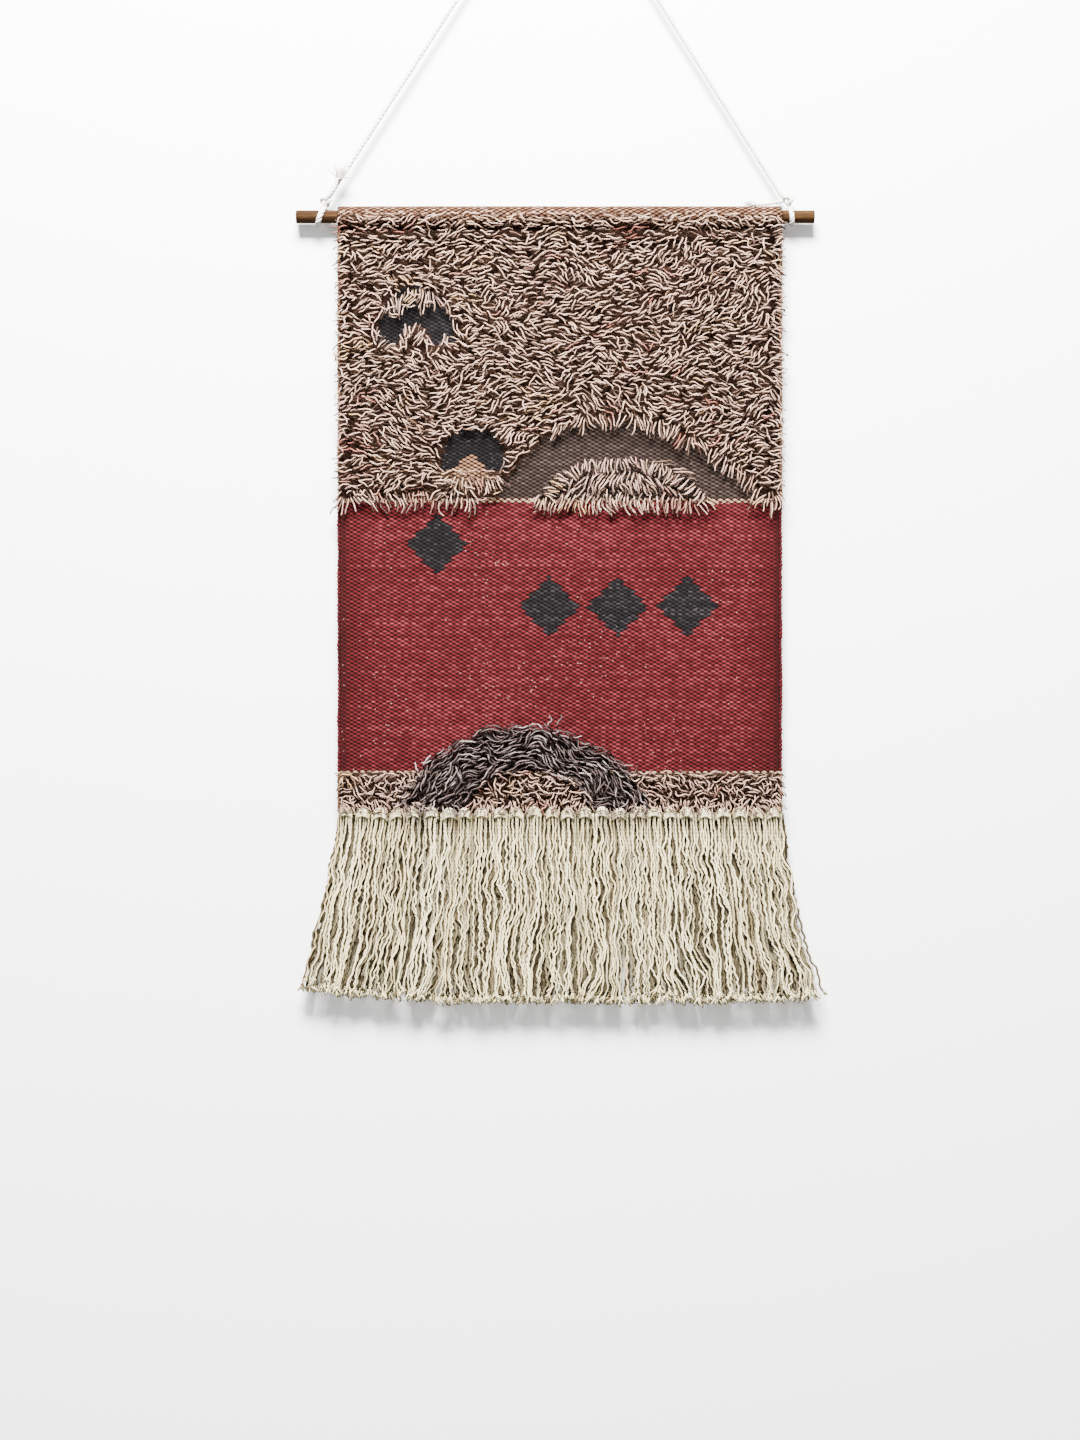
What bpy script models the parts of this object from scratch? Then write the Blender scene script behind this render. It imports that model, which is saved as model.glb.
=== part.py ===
"""A tapestry wall hanging. A woven panel with pile hangs from a wooden dowel in its top pocket, with a
knotted cotton fringe along its bottom edge. A cotton cord hitched to both ends of the dowel hangs it
from a turned wall peg.

Metres, +Z up. The wall is the plane y = 0 and the room is towards -Y. The origin is the centre of the
peg's back face. Everything soft hangs in the plane y = HANG_Y, in front of the wall.
"""

import math

import bmesh
import bpy
from mathutils import Vector

GAP = 0.0003  # left between pieces that touch
HANG_Y = -0.012

# Wall peg, with its profile as (radius, distance from the wall)
PEG_PROFILE = (
    (0.0, 0.0250),
    (0.0050, 0.0247),
    (0.0083, 0.0234),
    (0.0095, 0.0212),
    (0.0088, 0.0192),
    (0.0070, 0.0180),
    (0.0070, 0.0060),
    (0.0086, 0.0045),
    (0.0113, 0.0036),
    (0.0120, 0.0024),
    (0.0120, 0.0),
    (0.0, 0.0),
)
PEG_SHAFT_RADIUS = 0.0070
PEG_STEPS = 24

# Dowel
ROD_Z = -0.403
ROD_RADIUS = 0.0065
ROD_LEFT = -0.2955
ROD_RIGHT = 0.2865
ROD_EDGE = 0.0005

# Hanging cord
CORD_RADIUS = 0.0025
CORD_STEP = 0.0125
CORD_ARC_STEPS = 8
LOOP_X = (-0.268, 0.2585)
KNOT_X = (-0.262, 0.254)
KNOT_SIZE = Vector((0.0058, 0.0054, 0.0050))
TAIL_RADIUS = 0.0020
LEFT_TAIL_LENGTH = 0.038
RIGHT_TAIL_END_X = 0.209
RIGHT_TAIL_DROP = 0.002
TAIL_STEPS = 5

# Woven panel
PANEL_LEFT = -0.2494
PANEL_RIGHT = 0.2506
CLOTH = 0.0034
SELVEDGE_WIDTH = 0.0038
SELVEDGE_THICKNESS = 0.0038
POCKET_CLEARANCE = 0.0010
HEM_THICKNESS = 0.0015
HEM_BOTTOM = -0.431
STITCH_Z = -0.427
STITCH_RADIUS = 0.0006
RED_TOP = -0.7243
RED_BOTTOM = -1.0254
GROUND_BOTTOM = -1.0715

# Pile, which stands in front of the weave
PILE_DEPTH = 0.012
PILE_LEFT = -0.2444
PILE_RIGHT = 0.2456
PILE_TOP = -0.4218
PILE_OVERHANG = 0.008
# The pile in front of the rod pocket, as (drop below the dowel's axis, reach in front of it)
POCKET_PILE_FRONT = (
    (0.0185, 0.0142),
    (0.0150, 0.0160),
    (0.0090, 0.0178),
    (0.0010, 0.0180),
)
BOTTOM_PILE_TOP = -1.022
BOTTOM_PILE_BOTTOM = -1.066
# Where the big arch cuts the bottom band, as (x at the band's bottom, x at its top)
LEFT_BAND_END = (-0.186, -0.158)
RIGHT_BAND_END = (0.105, 0.087)

# Motifs. The hill and mound outlines are (x, height above RED_TOP).
HILL = (
    (-0.070, 0.0),
    (-0.058, 0.028),
    (-0.030, 0.060),
    (0.0, 0.081),
    (0.045, 0.091),
    (0.090, 0.088),
    (0.140, 0.068),
    (0.185, 0.040),
    (0.215, 0.016),
    (0.223, 0.0),
)
HILL_COVERED = 0.003
MOUND = (
    (-0.022, 0.0),
    (0.0, 0.028),
    (0.025, 0.043),
    (0.057, 0.047),
    (0.090, 0.045),
    (0.118, 0.037),
    (0.146, 0.020),
    (0.168, 0.0),
)
UPPER_ARCH = {
    "x": -0.1605,
    "foot": -0.546,
    "outer": (0.044, 0.066),
    "inner": (0.017, 0.022),
}
LOWER_ARCH = {
    "x": -0.0966,
    "foot": -0.6894,
    "outer": (0.034, 0.049),
    "inner": (0.0213, 0.020),
}
TAN_PATCH = ((-0.1265, -0.704), (-0.0775, -0.704), (-0.099, -0.6735))
DIAMOND_CENTRES = (
    (-0.1376, -0.7709),
    (-0.0112, -0.8411),
    (0.0657, -0.8411),
    (0.1438, -0.8400),
)
DIAMOND_HALF_WIDTH = 0.0343
DIAMOND_HALF_HEIGHT = 0.0337
DIAMOND_STEPS = 7
# The big arch's outer edge as (x, z), from the left foot over to the right foot
BIG_ARCH = (
    (-0.180, BOTTOM_PILE_BOTTOM),
    (-0.152, -1.020),
    (-0.106, -0.9906),
    (-0.075, -0.977),
    (-0.012, -0.978),
    (0.035, -0.996),
    (0.081, -1.028),
    (0.101, BOTTOM_PILE_BOTTOM),
)
BIG_ARCH_INNER_X = -0.034
BIG_ARCH_INNER = (0.067, 0.043)
INNER_MOUND = (0.0655, 0.0415)

# Fringe
HEADER_RADIUS = 0.0022
BUNDLES = 26
BUNDLE_GAP = 0.0006
FRINGE_LENGTH = 0.2095
FRINGE_DEPTH = 0.014
FRINGE_FLARE = 0.042
# Each section of a bundle: share of its length, share of its pitch, share of FRINGE_DEPTH
BUNDLE_SECTIONS = (
    (0.0, 0.70, 0.70),
    (0.025, 0.96, 1.0),
    (0.06, 0.90, 0.95),
    (0.10, 0.80, 0.70),
    (0.30, 1.0, 0.90),
    (0.65, 1.0, 1.0),
    (1.0, 1.0, 0.90),
)
BUNDLE_SIDES = 8
BUNDLE_UNEVEN = 0.02  # the most that a bundle is cut short, as a share of FRINGE_LENGTH
UNEVEN_TURN = 2.4  # radians from one bundle to the next, so that neighbours differ in length

COLOURS = {
    "walnut_wood": ((0.16, 0.075, 0.032), 0.45),
    "stained_wood": ((0.30, 0.17, 0.08), 0.50),
    "cotton_cord": ((0.86, 0.84, 0.79), 0.90),
    "tan_weave": ((0.47, 0.32, 0.22), 0.95),
    "red_weave": ((0.27, 0.035, 0.038), 0.95),
    "brown_weave": ((0.13, 0.075, 0.058), 0.95),
    "charcoal_weave": ((0.028, 0.024, 0.026), 0.95),
    "rose_pile": ((0.48, 0.30, 0.25), 0.97),
    "dark_pile": ((0.10, 0.065, 0.058), 0.97),
    "fringe_yarn": ((0.78, 0.73, 0.60), 0.95),
    "sewing_thread": ((0.66, 0.58, 0.47), 0.80),
}


def clear_scene():
    for obj in list(bpy.data.objects):
        bpy.data.objects.remove(obj)


def make_material(name):
    colour, roughness = COLOURS[name]
    material = bpy.data.materials.new(name)
    material.use_nodes = True
    shader = material.node_tree.nodes["Principled BSDF"]
    shader.inputs["Base Color"].default_value = (*colour, 1.0)
    shader.inputs["Roughness"].default_value = roughness
    shader.inputs["Metallic"].default_value = 0.0
    return material


def add_object(name, data, material, location=(0.0, 0.0, 0.0), rotation=(0.0, 0.0, 0.0)):
    obj = bpy.data.objects.new(name, data)
    data.materials.append(MATERIALS[material])
    obj.location = location
    obj.rotation_euler = rotation
    PARTS.objects.link(obj)
    return obj


def smooth_through(points, steps=4):
    """Points on a Catmull-Rom curve through the given 2D points, with steps to each stretch."""
    padded = [points[0], *points, points[-1]]
    result = []
    for a, b, c, d in zip(padded, padded[1:], padded[2:], padded[3:], strict=False):
        for i in range(steps):
            t = i / steps
            result.append(
                tuple(
                    0.5
                    * (
                        2 * q
                        + (r - p) * t
                        + (2 * p - 5 * q + 4 * r - s) * t * t
                        + (3 * q - p - 3 * r + s) * t**3
                    )
                    for p, q, r, s in zip(a, b, c, d, strict=True)
                )
            )
    return [*result, points[-1]]


def half_ellipse(x, foot, half_width, height, steps=12):
    """The upper half of an ellipse, from its left foot over to its right foot."""
    angles = [math.pi * (1 - i / steps) for i in range(steps + 1)]
    return [(x + half_width * math.cos(a), foot + height * math.sin(a)) for a in angles]


def arch(x, foot, outer, inner):
    """A closed arch outline with flat feet."""
    return half_ellipse(x, foot, *outer) + half_ellipse(x, foot, *inner)[::-1]


def diamond(centre, half_width, half_height, steps):
    """A stepped diamond, as a weaver makes one: equal steps in from each row to the next."""
    rise = half_height / steps
    quarter = []
    for i in range(steps):
        x = half_width * (steps - i) / steps
        quarter += [(x, i * rise), (x, (i + 1) * rise)]
    top = quarter + [(-x, z) for x, z in quarter[::-1]]
    outline = top + [(x, -z) for x, z in top[::-1]]
    kept = [p for p, q in zip(outline, outline[1:] + outline[:1], strict=True) if p != q]
    return [(centre[0] + x, centre[1] + z) for x, z in kept]


def inset(outline, distance):
    """The closed outline moved inwards by the distance at each of its corners."""
    turned = sum(
        a[0] * b[1] - b[0] * a[1]
        for a, b in zip(outline, outline[1:] + outline[:1], strict=True)
    )
    side = 1 if turned > 0 else -1
    result = []
    for i, point in enumerate(outline):
        before = (Vector(point) - Vector(outline[i - 1])).normalized()
        after = (Vector(outline[(i + 1) % len(outline)]) - Vector(point)).normalized()
        normal_1 = Vector((-before.y, before.x)) * side
        normal_2 = Vector((-after.y, after.x)) * side
        middle = (normal_1 + normal_2).normalized()
        reach = distance / max(middle.dot(normal_1), 0.4)
        result.append(tuple(Vector(point) + middle * reach))
    return result


def rectangle(left, right, bottom, top):
    return [(left, bottom), (right, bottom), (right, top), (left, top)]


def flat_curve(name, outlines, thickness):
    """A filled 2D curve. The first outline is the edge, and any others are holes."""
    curve = bpy.data.curves.new(name, "CURVE")
    curve.dimensions = "2D"
    curve.fill_mode = "BOTH"
    curve.extrude = thickness / 2
    for outline in outlines:
        spline = curve.splines.new("POLY")
        spline.points.add(len(outline) - 1)
        for point, (x, y) in zip(spline.points, outline, strict=True):
            point.co = (x, y, 0.0, 1.0)
        spline.use_cyclic_u = True
    return curve


def make_slab(name, material, outlines, front, back):
    """An upright slab between two y values. Its outlines are (x, z)."""
    curve = flat_curve(name, outlines, back - front)
    centre = (0.0, (front + back) / 2, 0.0)
    return add_object(name, curve, material, centre, (math.pi / 2, 0.0, 0.0))


def make_weave(name, material, outline, holes=()):
    front = HANG_Y - CLOTH / 2
    return make_slab(name, material, [outline, *holes], front, front + CLOTH)


def make_pile(name, material, outline, holes=()):
    back = HANG_Y - SELVEDGE_THICKNESS / 2 - GAP
    return make_slab(name, material, [outline, *holes], back - PILE_DEPTH, back)


def make_tube(name, material, points, radius):
    """A round cord along the points, with closed ends."""
    curve = bpy.data.curves.new(name, "CURVE")
    curve.dimensions = "3D"
    curve.bevel_depth = radius
    curve.bevel_resolution = 2
    curve.use_fill_caps = True
    spline = curve.splines.new("POLY")
    spline.points.add(len(points) - 1)
    for point, place in zip(spline.points, points, strict=True):
        point.co = (*place, 1.0)
    return add_object(name, curve, material)


def make_wall_peg():
    mesh = bpy.data.meshes.new("wall_peg")
    mesh.from_pydata(
        [(radius, 0.0, height) for radius, height in PEG_PROFILE],
        [(i, i + 1) for i in range(len(PEG_PROFILE) - 1)],
        [],
    )
    peg = add_object("wall_peg", mesh, "walnut_wood", rotation=(math.pi / 2, 0.0, 0.0))
    screw = peg.modifiers.new("turned", "SCREW")
    screw.steps = PEG_STEPS
    screw.render_steps = PEG_STEPS
    screw.use_merge_vertices = True
    screw.merge_threshold = 0.0001
    screw.use_smooth_shade = True


def make_dowel():
    mesh = bpy.data.meshes.new("wooden_dowel")
    form = bmesh.new()
    bmesh.ops.create_cone(
        form,
        cap_ends=True,
        segments=24,
        radius1=ROD_RADIUS,
        radius2=ROD_RADIUS,
        depth=ROD_RIGHT - ROD_LEFT,
    )
    form.to_mesh(mesh)
    form.free()
    centre = ((ROD_LEFT + ROD_RIGHT) / 2, HANG_Y, ROD_Z)
    turn = (0.0, math.pi / 2, 0.0)
    dowel = add_object("wooden_dowel", mesh, "stained_wood", centre, turn)
    edge = dowel.modifiers.new("sawn edge", "BEVEL")
    edge.width = ROD_EDGE
    edge.segments = 1
    edge.limit_method = "ANGLE"
    edge.angle_limit = math.radians(60)


def knot_centre(side):
    height = ROD_Z + ROD_RADIUS + 2 * CORD_RADIUS + 2 * GAP + KNOT_SIZE.z
    return Vector((KNOT_X[side], HANG_Y, height))


def peg_tangent(point, side):
    """Where the cord from this point first meets its path round the peg. side is -1 left, 1 right."""
    radius = PEG_SHAFT_RADIUS + GAP + CORD_RADIUS
    distance = math.hypot(point.x, point.z)
    towards = math.atan2(point.z, point.x)
    angle = towards + side * math.acos(radius / distance)
    return angle, Vector((radius * math.cos(angle), HANG_Y, radius * math.sin(angle)))


def straight_run(start, end, step):
    count = max(1, round((end - start).length / step))
    return [start.lerp(end, i / count) for i in range(count)]


def hanging_cord_points():
    """Left knot, up to the peg, over it, and down to the right knot."""
    radius = PEG_SHAFT_RADIUS + GAP + CORD_RADIUS
    clear = max(KNOT_SIZE) + GAP
    left, right = knot_centre(0), knot_centre(1)
    left_angle, left_touch = peg_tangent(left, -1)
    right_angle, right_touch = peg_tangent(right, 1)
    left_angle %= 2 * math.pi
    right_angle %= 2 * math.pi
    start = left + (left_touch - left).normalized() * clear
    end = right + (right_touch - right).normalized() * clear
    over = []
    for i in range(CORD_ARC_STEPS + 1):
        angle = left_angle + (right_angle - left_angle) * i / CORD_ARC_STEPS
        over.append(Vector((radius * math.cos(angle), HANG_Y, radius * math.sin(angle))))
    up = straight_run(start, left_touch, CORD_STEP)
    down = straight_run(end, right_touch, CORD_STEP)
    return up + over + down[::-1]


def make_suspension():
    points = hanging_cord_points()
    make_tube("hanging_cord", "cotton_cord", points, CORD_RADIUS)
    for side, word in enumerate(("left", "right")):
        bpy.ops.mesh.primitive_torus_add(
            major_segments=20,
            minor_segments=8,
            major_radius=ROD_RADIUS + GAP + CORD_RADIUS,
            minor_radius=CORD_RADIUS,
        )
        blank = bpy.context.object
        mesh = blank.data
        bpy.data.objects.remove(blank)
        mesh.name = f"{word}_hitch_loop"
        place = (LOOP_X[side], HANG_Y, ROD_Z)
        turn = (0.0, math.pi / 2, 0.0)
        add_object(f"{word}_hitch_loop", mesh, "cotton_cord", place, turn)
        knot = bpy.data.meshes.new(f"{word}_knot")
        form = bmesh.new()
        bmesh.ops.create_uvsphere(form, u_segments=12, v_segments=8, radius=1.0)
        bmesh.ops.scale(form, vec=KNOT_SIZE, verts=form.verts)
        form.to_mesh(knot)
        form.free()
        add_object(f"{word}_knot", knot, "cotton_cord", knot_centre(side))
    make_left_tail(points[0], points[1])
    make_right_tail()


def make_left_tail(cord_start, cord_next):
    """Lies up along the front of the cord."""
    along = (cord_next - cord_start).normalized()
    front = Vector((0.0, -(CORD_RADIUS + TAIL_RADIUS + 2 * GAP), 0.0))
    start = cord_start + front
    steps = range(TAIL_STEPS + 1)
    points = [start + along * LEFT_TAIL_LENGTH * i / TAIL_STEPS for i in steps]
    make_tube("left_tail", "cotton_cord", points, TAIL_RADIUS)


def make_right_tail():
    """Lies to the left along the top of the rod pocket."""
    centre = knot_centre(1)
    low = ROD_Z + ROD_RADIUS + POCKET_CLEARANCE + CLOTH + TAIL_RADIUS + 2 * GAP
    start_x = centre.x - KNOT_SIZE.x - GAP
    points = []
    for i in range(TAIL_STEPS + 1):
        share = i / TAIL_STEPS
        height = low + (1 - share) ** 2 * RIGHT_TAIL_DROP
        x = start_x + (RIGHT_TAIL_END_X - start_x) * share
        points.append(Vector((x, HANG_Y, height)))
    make_tube("right_tail", "cotton_cord", points, TAIL_RADIUS)


def make_run(name, material, outlines, left, right):
    """A solid along X with one section, whose outlines are (drop below the dowel's axis, y from it)."""
    curve = flat_curve(name, outlines, right - left)
    centre = ((left + right) / 2, HANG_Y, ROD_Z)
    add_object(name, curve, material, centre, (0.0, math.pi / 2, 0.0))


def make_rod_pocket():
    """The sleeve that the dowel lies in, with the folded hem and the stitching behind it."""
    inner = ROD_RADIUS + POCKET_CLEARANCE
    circles = []
    for radius in (inner + CLOTH, inner):
        angles = [2 * math.pi * i / 24 for i in range(24)]
        circles.append([(radius * math.cos(a), radius * math.sin(a)) for a in angles])
    make_run("rod_pocket", "tan_weave", circles, PANEL_LEFT, PANEL_RIGHT)
    hem_front = HANG_Y + SELVEDGE_THICKNESS / 2 + GAP
    hem = rectangle(PANEL_LEFT, PANEL_RIGHT, HEM_BOTTOM, weave_top() - GAP)
    hem_back = hem_front + HEM_THICKNESS
    make_slab("pocket_hem", "tan_weave", [hem], hem_front, hem_back)
    thread_y = hem_back + GAP + STITCH_RADIUS
    ends = (PANEL_LEFT + 2 * SELVEDGE_WIDTH, PANEL_RIGHT - 2 * SELVEDGE_WIDTH)
    thread = [Vector((x, thread_y, STITCH_Z)) for x in ends]
    make_tube("pocket_stitching", "sewing_thread", thread, STITCH_RADIUS)


def weave_top():
    return ROD_Z - ROD_RADIUS - POCKET_CLEARANCE - CLOTH - GAP


def above_red(outline):
    return [(x, RED_TOP + height) for x, height in outline]


def make_weaves():
    left = PANEL_LEFT + SELVEDGE_WIDTH + GAP
    right = PANEL_RIGHT - SELVEDGE_WIDTH - GAP
    upper_bottom = RED_TOP + GAP / 2
    hill = above_red(smooth_through(HILL))
    hill_inlay = inset([(x, max(z, upper_bottom)) for x, z in hill], GAP)
    upper_edge = [(left, upper_bottom), (hill[0][0], upper_bottom), *hill[1:-1]]
    upper_edge += [(hill[-1][0], upper_bottom), (right, upper_bottom)]
    upper_edge += [(right, weave_top()), (left, weave_top())]
    arches = {"upper_arch": arch(**UPPER_ARCH), "lower_arch": arch(**LOWER_ARCH)}
    patch = list(TAN_PATCH)
    make_weave("upper_ground", "tan_weave", upper_edge, [*arches.values(), patch])
    make_weave("brown_hill", "brown_weave", hill_inlay)
    for name, outline in arches.items():
        make_weave(f"{name}_motif", "charcoal_weave", inset(outline, GAP))
    make_weave("tan_patch", "tan_weave", inset(patch, GAP))
    diamonds = [
        diamond(centre, DIAMOND_HALF_WIDTH, DIAMOND_HALF_HEIGHT, DIAMOND_STEPS)
        for centre in DIAMOND_CENTRES
    ]
    red_edge = rectangle(left, right, RED_BOTTOM + GAP / 2, RED_TOP - GAP / 2)
    make_weave("red_ground", "red_weave", red_edge, diamonds)
    for i, outline in enumerate(diamonds, 1):
        make_weave(f"diamond_{i}", "charcoal_weave", inset(outline, GAP))
    lower_edge = rectangle(left, right, GROUND_BOTTOM, RED_BOTTOM - GAP / 2)
    make_weave("lower_ground", "tan_weave", lower_edge)
    sides = (
        ("left_selvedge", PANEL_LEFT, PANEL_LEFT + SELVEDGE_WIDTH),
        ("right_selvedge", PANEL_RIGHT - SELVEDGE_WIDTH, PANEL_RIGHT),
    )
    for name, low, high in sides:
        make_slab(
            name,
            "tan_weave",
            [rectangle(low, high, GROUND_BOTTOM, weave_top())],
            HANG_Y - SELVEDGE_THICKNESS / 2,
            HANG_Y + SELVEDGE_THICKNESS / 2,
        )


def make_pocket_pile():
    """The pile that hangs over the front of the rod pocket."""
    radius = ROD_RADIUS + POCKET_CLEARANCE + CLOTH + GAP
    back = SELVEDGE_THICKNESS / 2 + 2 * GAP
    first = math.asin(back / radius)
    angles = [first + (math.pi / 2 - first) * i / 6 for i in range(7)]
    hollow = [(radius * math.cos(a), -radius * math.sin(a)) for a in angles]
    front = [(drop, -reach) for drop, reach in POCKET_PILE_FRONT]
    section = [(front[0][0], -back), *front, *hollow[::-1]]
    make_run("pocket_pile", "rose_pile", [section], PILE_LEFT, PILE_RIGHT)


def make_piles():
    low = RED_TOP - PILE_OVERHANG
    covered = [(x, height - HILL_COVERED) for x, height in smooth_through(HILL)]
    notch = [(x, z) for x, z in above_red(covered) if z > low]
    upper = [(PILE_LEFT, low), (notch[0][0], low), *notch, (notch[-1][0], low)]
    upper += [(PILE_RIGHT, low), (PILE_RIGHT, PILE_TOP), (PILE_LEFT, PILE_TOP)]
    upper_hole = inset(arch(**UPPER_ARCH), 2 * GAP)
    shape = LOWER_ARCH
    patch_bottom = [TAN_PATCH[1], TAN_PATCH[0]]
    lower_hole = half_ellipse(shape["x"], shape["foot"], *shape["outer"]) + patch_bottom
    make_pile("upper_pile", "rose_pile", upper, [upper_hole, lower_hole])
    mound = above_red(smooth_through(MOUND))
    mound = [(mound[0][0], low), *mound, (mound[-1][0], low)]
    make_pile("mound_pile", "rose_pile", mound)
    foot = BOTTOM_PILE_BOTTOM
    inside = half_ellipse(BIG_ARCH_INNER_X, foot, *BIG_ARCH_INNER)
    make_pile("arch_pile", "dark_pile", smooth_through(BIG_ARCH, 3) + inside[::-1])
    top = BOTTOM_PILE_TOP
    low_end, high_end = LEFT_BAND_END
    left = [(PILE_LEFT, foot), (low_end, foot), (high_end, top), (PILE_LEFT, top)]
    make_pile("bottom_pile_left", "rose_pile", left)
    low_end, high_end = RIGHT_BAND_END
    right = [(low_end, foot), (PILE_RIGHT, foot), (PILE_RIGHT, top), (high_end, top)]
    make_pile("bottom_pile_right", "rose_pile", right)
    heap = half_ellipse(BIG_ARCH_INNER_X, foot, *INNER_MOUND)
    make_pile("bottom_pile_mound", "rose_pile", heap)


def fringe_half_width(share):
    """Half the fringe's width at this share of its length. It flares more towards its ends."""
    half = (PANEL_RIGHT - PANEL_LEFT) / 2
    return half + FRINGE_FLARE * (0.6 * share + 0.4 * share * share)


def make_bundle(index, top):
    """One knotted bundle: a loft of rounded sections, thick at the knot and narrow at its neck."""
    centre_x = (PANEL_LEFT + PANEL_RIGHT) / 2
    cut = 1 - BUNDLE_UNEVEN * abs(math.sin(UNEVEN_TURN * index))
    form = bmesh.new()
    rings = []
    for section, width_share, depth_share in BUNDLE_SECTIONS:
        share = min(section, cut)
        pitch = 2 * fringe_half_width(share) / BUNDLES
        middle = centre_x + (index - (BUNDLES - 1) / 2) * pitch
        half_x = (pitch - BUNDLE_GAP) / 2 * width_share
        half_y = FRINGE_DEPTH / 2 * depth_share
        ring = []
        for i in range(BUNDLE_SIDES):
            angle = 2 * math.pi * (i + 0.5) / BUNDLE_SIDES
            x = middle + half_x * math.cos(angle) / math.cos(math.pi / BUNDLE_SIDES)
            y = HANG_Y + half_y * math.sin(angle) / math.cos(math.pi / BUNDLE_SIDES)
            ring.append(form.verts.new((x, y, top - FRINGE_LENGTH * share)))
        rings.append(ring)
    for upper, lower in zip(rings, rings[1:], strict=False):
        for i in range(BUNDLE_SIDES):
            j = (i + 1) % BUNDLE_SIDES
            form.faces.new((upper[i], upper[j], lower[j], lower[i]))
    form.faces.new(rings[0][::-1])
    form.faces.new(rings[-1])
    bmesh.ops.recalc_face_normals(form, faces=form.faces)
    name = f"fringe_bundle_{index + 1:02d}"
    mesh = bpy.data.meshes.new(name)
    form.to_mesh(mesh)
    form.free()
    add_object(name, mesh, "fringe_yarn")


def make_fringe():
    header_z = GROUND_BOTTOM - GAP - HEADER_RADIUS
    header = [Vector((x, HANG_Y, header_z)) for x in (PANEL_LEFT, PANEL_RIGHT)]
    make_tube("header_cord", "fringe_yarn", header, HEADER_RADIUS)
    for index in range(BUNDLES):
        make_bundle(index, header_z - HEADER_RADIUS - GAP)


clear_scene()
PARTS = bpy.data.collections.new("tapestry_wall_hanging")
bpy.context.scene.collection.children.link(PARTS)
MATERIALS = {name: make_material(name) for name in COLOURS}
make_wall_peg()
make_suspension()
make_dowel()
make_rod_pocket()
make_weaves()
make_pocket_pile()
make_piles()
make_fringe()
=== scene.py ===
"""The looks of a tapestry wall hanging: woven cloth, loose pile, a knotted fringe, cord and wood.

Metres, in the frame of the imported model: the wall is the plane y = 0, the room is towards -Y, and
the origin is the centre of the wall peg's back face.
"""

import math

import bpy
import numpy as np
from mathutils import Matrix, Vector


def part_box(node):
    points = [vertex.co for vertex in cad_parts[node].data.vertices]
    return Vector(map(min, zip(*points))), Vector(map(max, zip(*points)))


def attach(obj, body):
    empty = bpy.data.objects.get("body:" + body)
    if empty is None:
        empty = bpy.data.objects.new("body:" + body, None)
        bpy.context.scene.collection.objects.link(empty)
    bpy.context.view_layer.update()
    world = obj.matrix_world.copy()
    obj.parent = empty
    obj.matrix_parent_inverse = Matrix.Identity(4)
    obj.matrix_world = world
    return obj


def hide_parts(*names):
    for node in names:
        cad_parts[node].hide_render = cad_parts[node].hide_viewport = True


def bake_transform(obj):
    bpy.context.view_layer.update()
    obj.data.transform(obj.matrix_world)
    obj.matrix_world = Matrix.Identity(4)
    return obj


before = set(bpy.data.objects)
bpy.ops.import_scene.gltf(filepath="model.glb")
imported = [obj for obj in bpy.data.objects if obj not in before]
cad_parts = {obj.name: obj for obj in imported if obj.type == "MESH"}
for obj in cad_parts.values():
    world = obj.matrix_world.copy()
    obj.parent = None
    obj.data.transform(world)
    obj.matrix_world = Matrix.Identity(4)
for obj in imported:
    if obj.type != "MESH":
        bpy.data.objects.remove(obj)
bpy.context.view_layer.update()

# ---------------------------------------------------------------------------------------------
# Sizes of the frame, as the design has them
# ---------------------------------------------------------------------------------------------
GAP = 0.0003
HANG_Y = -0.012
PEG_SHAFT_RADIUS = 0.0070
ROD_Z = -0.403
ROD_RADIUS = 0.0065
CORD_RADIUS = 0.0025
CORD_STEP = 0.0125
CORD_ARC_STEPS = 8
LOOP_X = (-0.268, 0.2585)
KNOT_X = (-0.262, 0.254)
KNOT_SIZE = Vector((0.0058, 0.0054, 0.0050))
RIGHT_TAIL_END_X = 0.209
PANEL_LEFT = -0.2494
PANEL_RIGHT = 0.2506
CLOTH = 0.0034
SELVEDGE_WIDTH = 0.0038
POCKET_CLEARANCE = 0.0010
WEAVE_TOP = ROD_Z - ROD_RADIUS - POCKET_CLEARANCE - CLOTH - GAP
RED_TOP = -0.7243
RED_BOTTOM = -1.0254
GROUND_BOTTOM = -1.0715
HEADER_RADIUS = 0.0022
HEADER_Z = GROUND_BOTTOM - GAP - HEADER_RADIUS
PILE_LEFT = -0.2444
PILE_RIGHT = 0.2456

# ---------------------------------------------------------------------------------------------
# Camera, stage and light
# ---------------------------------------------------------------------------------------------
CAMERA_X = -0.0216
CAMERA_Z = -0.968
CAMERA_LENS = 60.0
CAMERA_DISTANCE = 2.692
WEAVE_FRONT_Y = HANG_Y - 0.003
WALL_Y = 0.0006
FLOOR_Z = -1.90
STAGE_REACH = 4.0
LIGHT_AIM = (0.0, 0.0, -0.80)
KEY_PLACE = (-0.20, -1.60, 1.45)
KEY_SIZE = (1.2, 0.8)
KEY_POWER = 1120.0
KEY_COLOUR = (1.0, 0.985, 0.965)
WASH_POWER = 60.0
FILL_PLACE = (-2.4, -1.9, -0.6)
FILL_SIZE = (1.6, 2.2)
FILL_POWER = 14.0
FILL_COLOUR = (0.98, 0.99, 1.0)
BACK_PLACE = (0.6, 2.2, 0.2)
BACK_SIZE = (2.2, 2.2)
BACK_POWER = 150.0
WORLD_COLOUR = (0.97, 0.985, 1.0)
WORLD_STRENGTH = 0.82
WHITE = (1.0, 1.0, 1.0)


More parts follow.
